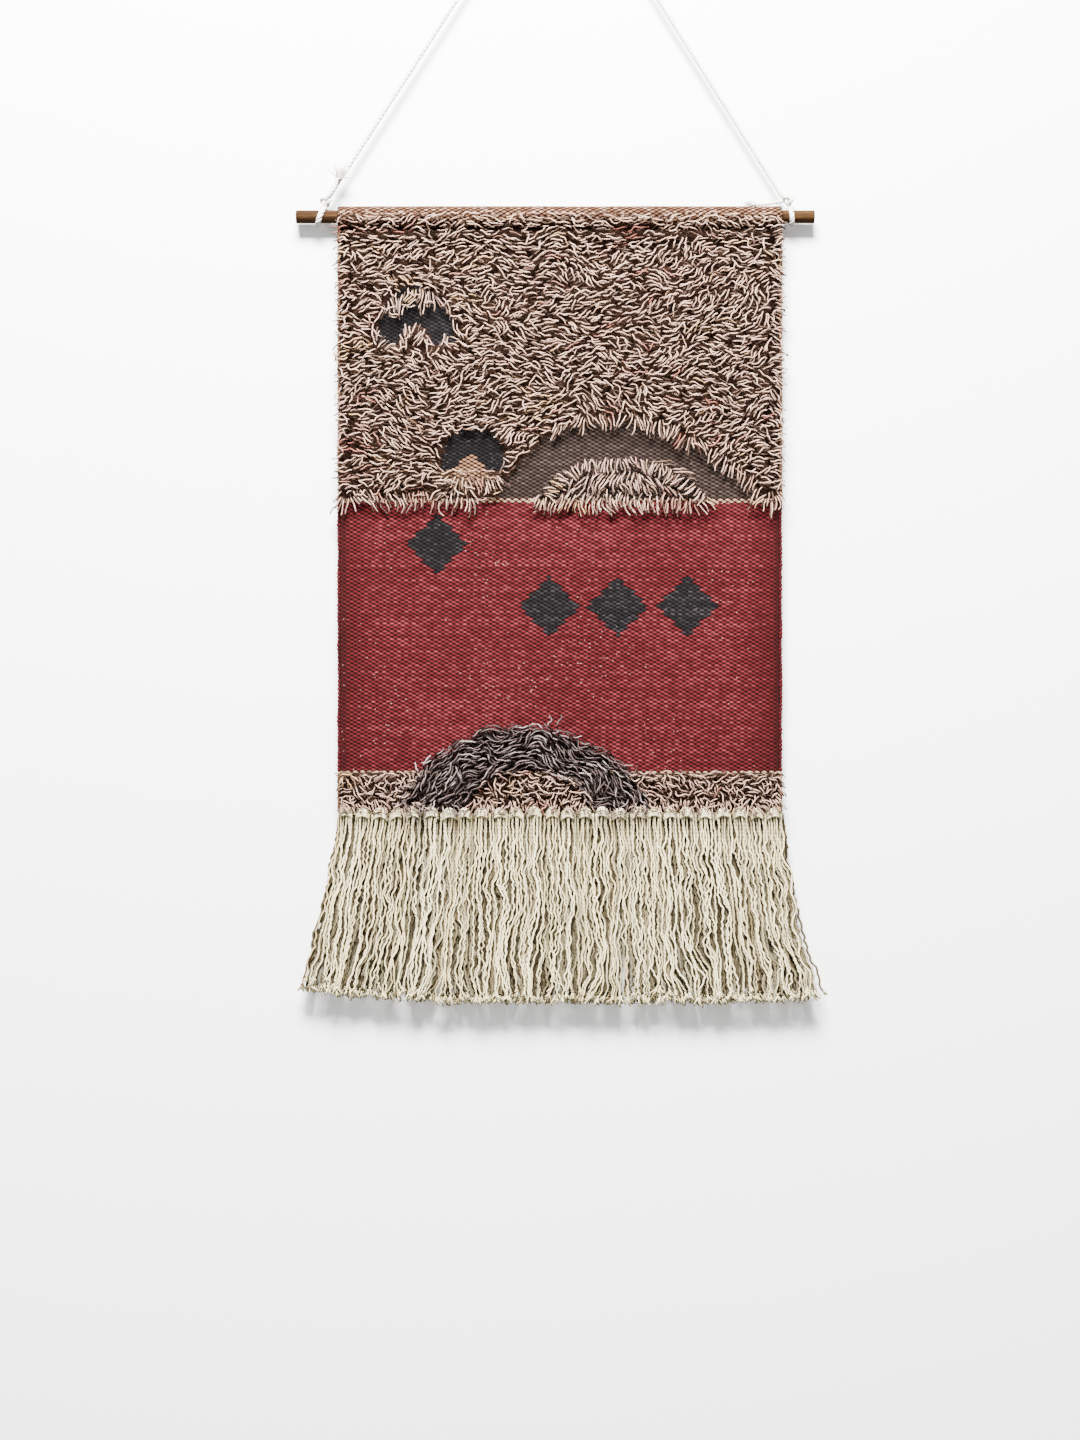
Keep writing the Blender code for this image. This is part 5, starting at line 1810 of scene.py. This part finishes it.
def make_fringe():
    """The yarns in three pieces, the knots, and the header cord behind them."""
    rng = np.random.default_rng(107)
    paths, layer, bundle = fringe_paths(rng)
    share = np.linspace(0, 1, FRINGE_POINTS)[None]
    count = len(paths)
    taper = 1 - 0.22 * np.clip((share - 0.9) / 0.1, 0, 1)
    radii = FRINGE_RADIUS * rng.uniform(0.8, 1.12, (count, 1)) * taper
    radii = radii * np.where(layer > -0.3, 1.3, 1.0)[:, None]
    patches = 1 - 0.35 * smooth_noise(46, paths[..., 0], paths[..., 2], 0.012)
    vary = rng.uniform(0.85, 1.05, (count, 1)) * patches
    # painted shadow of the knots: the yarns are a little darker just below them
    vary = vary * (0.92 + 0.08 * np.clip(share / 0.06, 0, 1))
    # painted shade: fringe yarns darken towards the middle of each bundle
    shades = np.clip(vary * depth_shade((1 - layer) / 2)[:, None], 0, 1)
    back_shades = np.clip(vary * depth_shade((1 + layer) / 2)[:, None], 0, 1)
    tones = np.clip(0.58 + rng.normal(0, 0.22, count), 0, 1)
    every_node = [f"fringe_bundle_{i:02d}" for i in range(1, BUNDLES + 1)]
    for word, first, last in BUNDLE_GROUPS:
        here = (bundle >= first) & (bundle < last)
        name = f"fringe_{word}"
        yarns = yarn_mesh(name, paths[here], radii[here], tones[here], shades[here], 5, back_shades[here])
        ends = frayed_ends(paths[here], rng)
        end_radii = np.full(ends.shape[:2], FRAYED_RADIUS)
        end_tones = np.repeat(tones[here], FRAYED_PLIES)
        # painted shade of the frayed plies, lighter than at the end of their yarn
        end_light = np.clip(np.repeat(shades[here][:, -1], FRAYED_PLIES) * 1.5 + 0.35, 0, 1)
        end_shades = np.broadcast_to(end_light[:, None], ends.shape[:2])
        tips = yarn_mesh(f"fringe_tips_{word}", ends, end_radii, end_tones, end_shades, 4)
        mesh = join_meshes([yarns, tips])
        piece = add_piece(name, mesh, CREAM_YARN, None, every_node[first:last])
        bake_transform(piece)
    knots = knot_paths(rng)
    knot_radii = np.full(knots.shape[:2], KNOT_YARN_RADIUS)
    knot_tones = np.clip(0.85 + rng.normal(0, 0.12, len(knots)), 0, 1)
    knot_shades = np.broadcast_to(np.tile(KNOT_SHADES, BUNDLES)[:, None], knots.shape[:2])
    mesh = yarn_mesh("fringe_knots", knots, knot_radii, knot_tones, knot_shades)
    add_piece("fringe_knots", mesh, CREAM_YARN, "panel")
    ends = [(PANEL_LEFT + 0.001, HANG_Y, HEADER_Z), (PANEL_RIGHT - 0.001, HANG_Y, HEADER_Z)]
    # painted shade: the header cord is darkened where it shows between the knots
    header = rope_mesh("header_rope", ends, HEADER_RADIUS, 0.002, 0.012, shade=0.3)
    add_piece("header_rope", header, CREAM_YARN, "panel", ["header_cord"])


# ---------------------------------------------------------------------------------------------
# Wood
# ---------------------------------------------------------------------------------------------
DOWEL_RADIUS = 0.0072
DOWEL_SIDES = 40
ROUNDED_OVER = 0.0007  # at the dowel's cut ends


def make_dowel():
    """The dowel, a little uneven along its length, with its cut ends slightly rounded over."""
    low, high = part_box("wooden_dowel")
    length = high[0] - low[0]
    along = np.linspace(0.004, length - 0.004, 90)
    stations = np.concatenate([[0.0, 0.0006], along, [length - 0.0006, length]])
    sides = DOWEL_SIDES
    rings = []
    for place in stations:
        end = min(place, length - place)
        radius = DOWEL_RADIUS - ROUNDED_OVER * (1 - min(end / ROUNDED_OVER, 1.0)) ** 2
        angle = 2 * np.pi * np.arange(sides) / sides
        x = np.full(sides, low[0] + place)
        r = radius + 0.00012 * smooth_noise(61, x, angle * DOWEL_RADIUS, 0.02)
        rings.append(np.stack([x, HANG_Y - r * np.cos(angle), ROD_Z + r * np.sin(angle)], axis=-1))
    points = np.stack(rings)
    mesh = build_mesh("dowel", points.reshape(-1, 3), tube_faces(len(stations), sides))
    material = wood_material("dowel_wood_grain", DOWEL_STOPS, 0.85)
    add_piece("dowel", mesh, material, "rod", ["wooden_dowel"])


def finish_peg():
    """The peg keeps its CAD shape, so only its material is new."""
    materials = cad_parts["wall_peg"].data.materials
    materials.clear()
    materials.append(wood_material("peg_wood_grain", WALNUT_STOPS, 0.4))


make_camera()
make_lights(make_stage())
make_suspension()
make_upper_inlays()
make_upper_ground()
make_red_field()
make_lower_ground()
make_selvedges()
make_pocket()
make_hem()
make_stitches()
make_upper_pile()
make_arch_pile()
make_bottom_piles()
make_fringe()
make_dowel()
finish_peg()
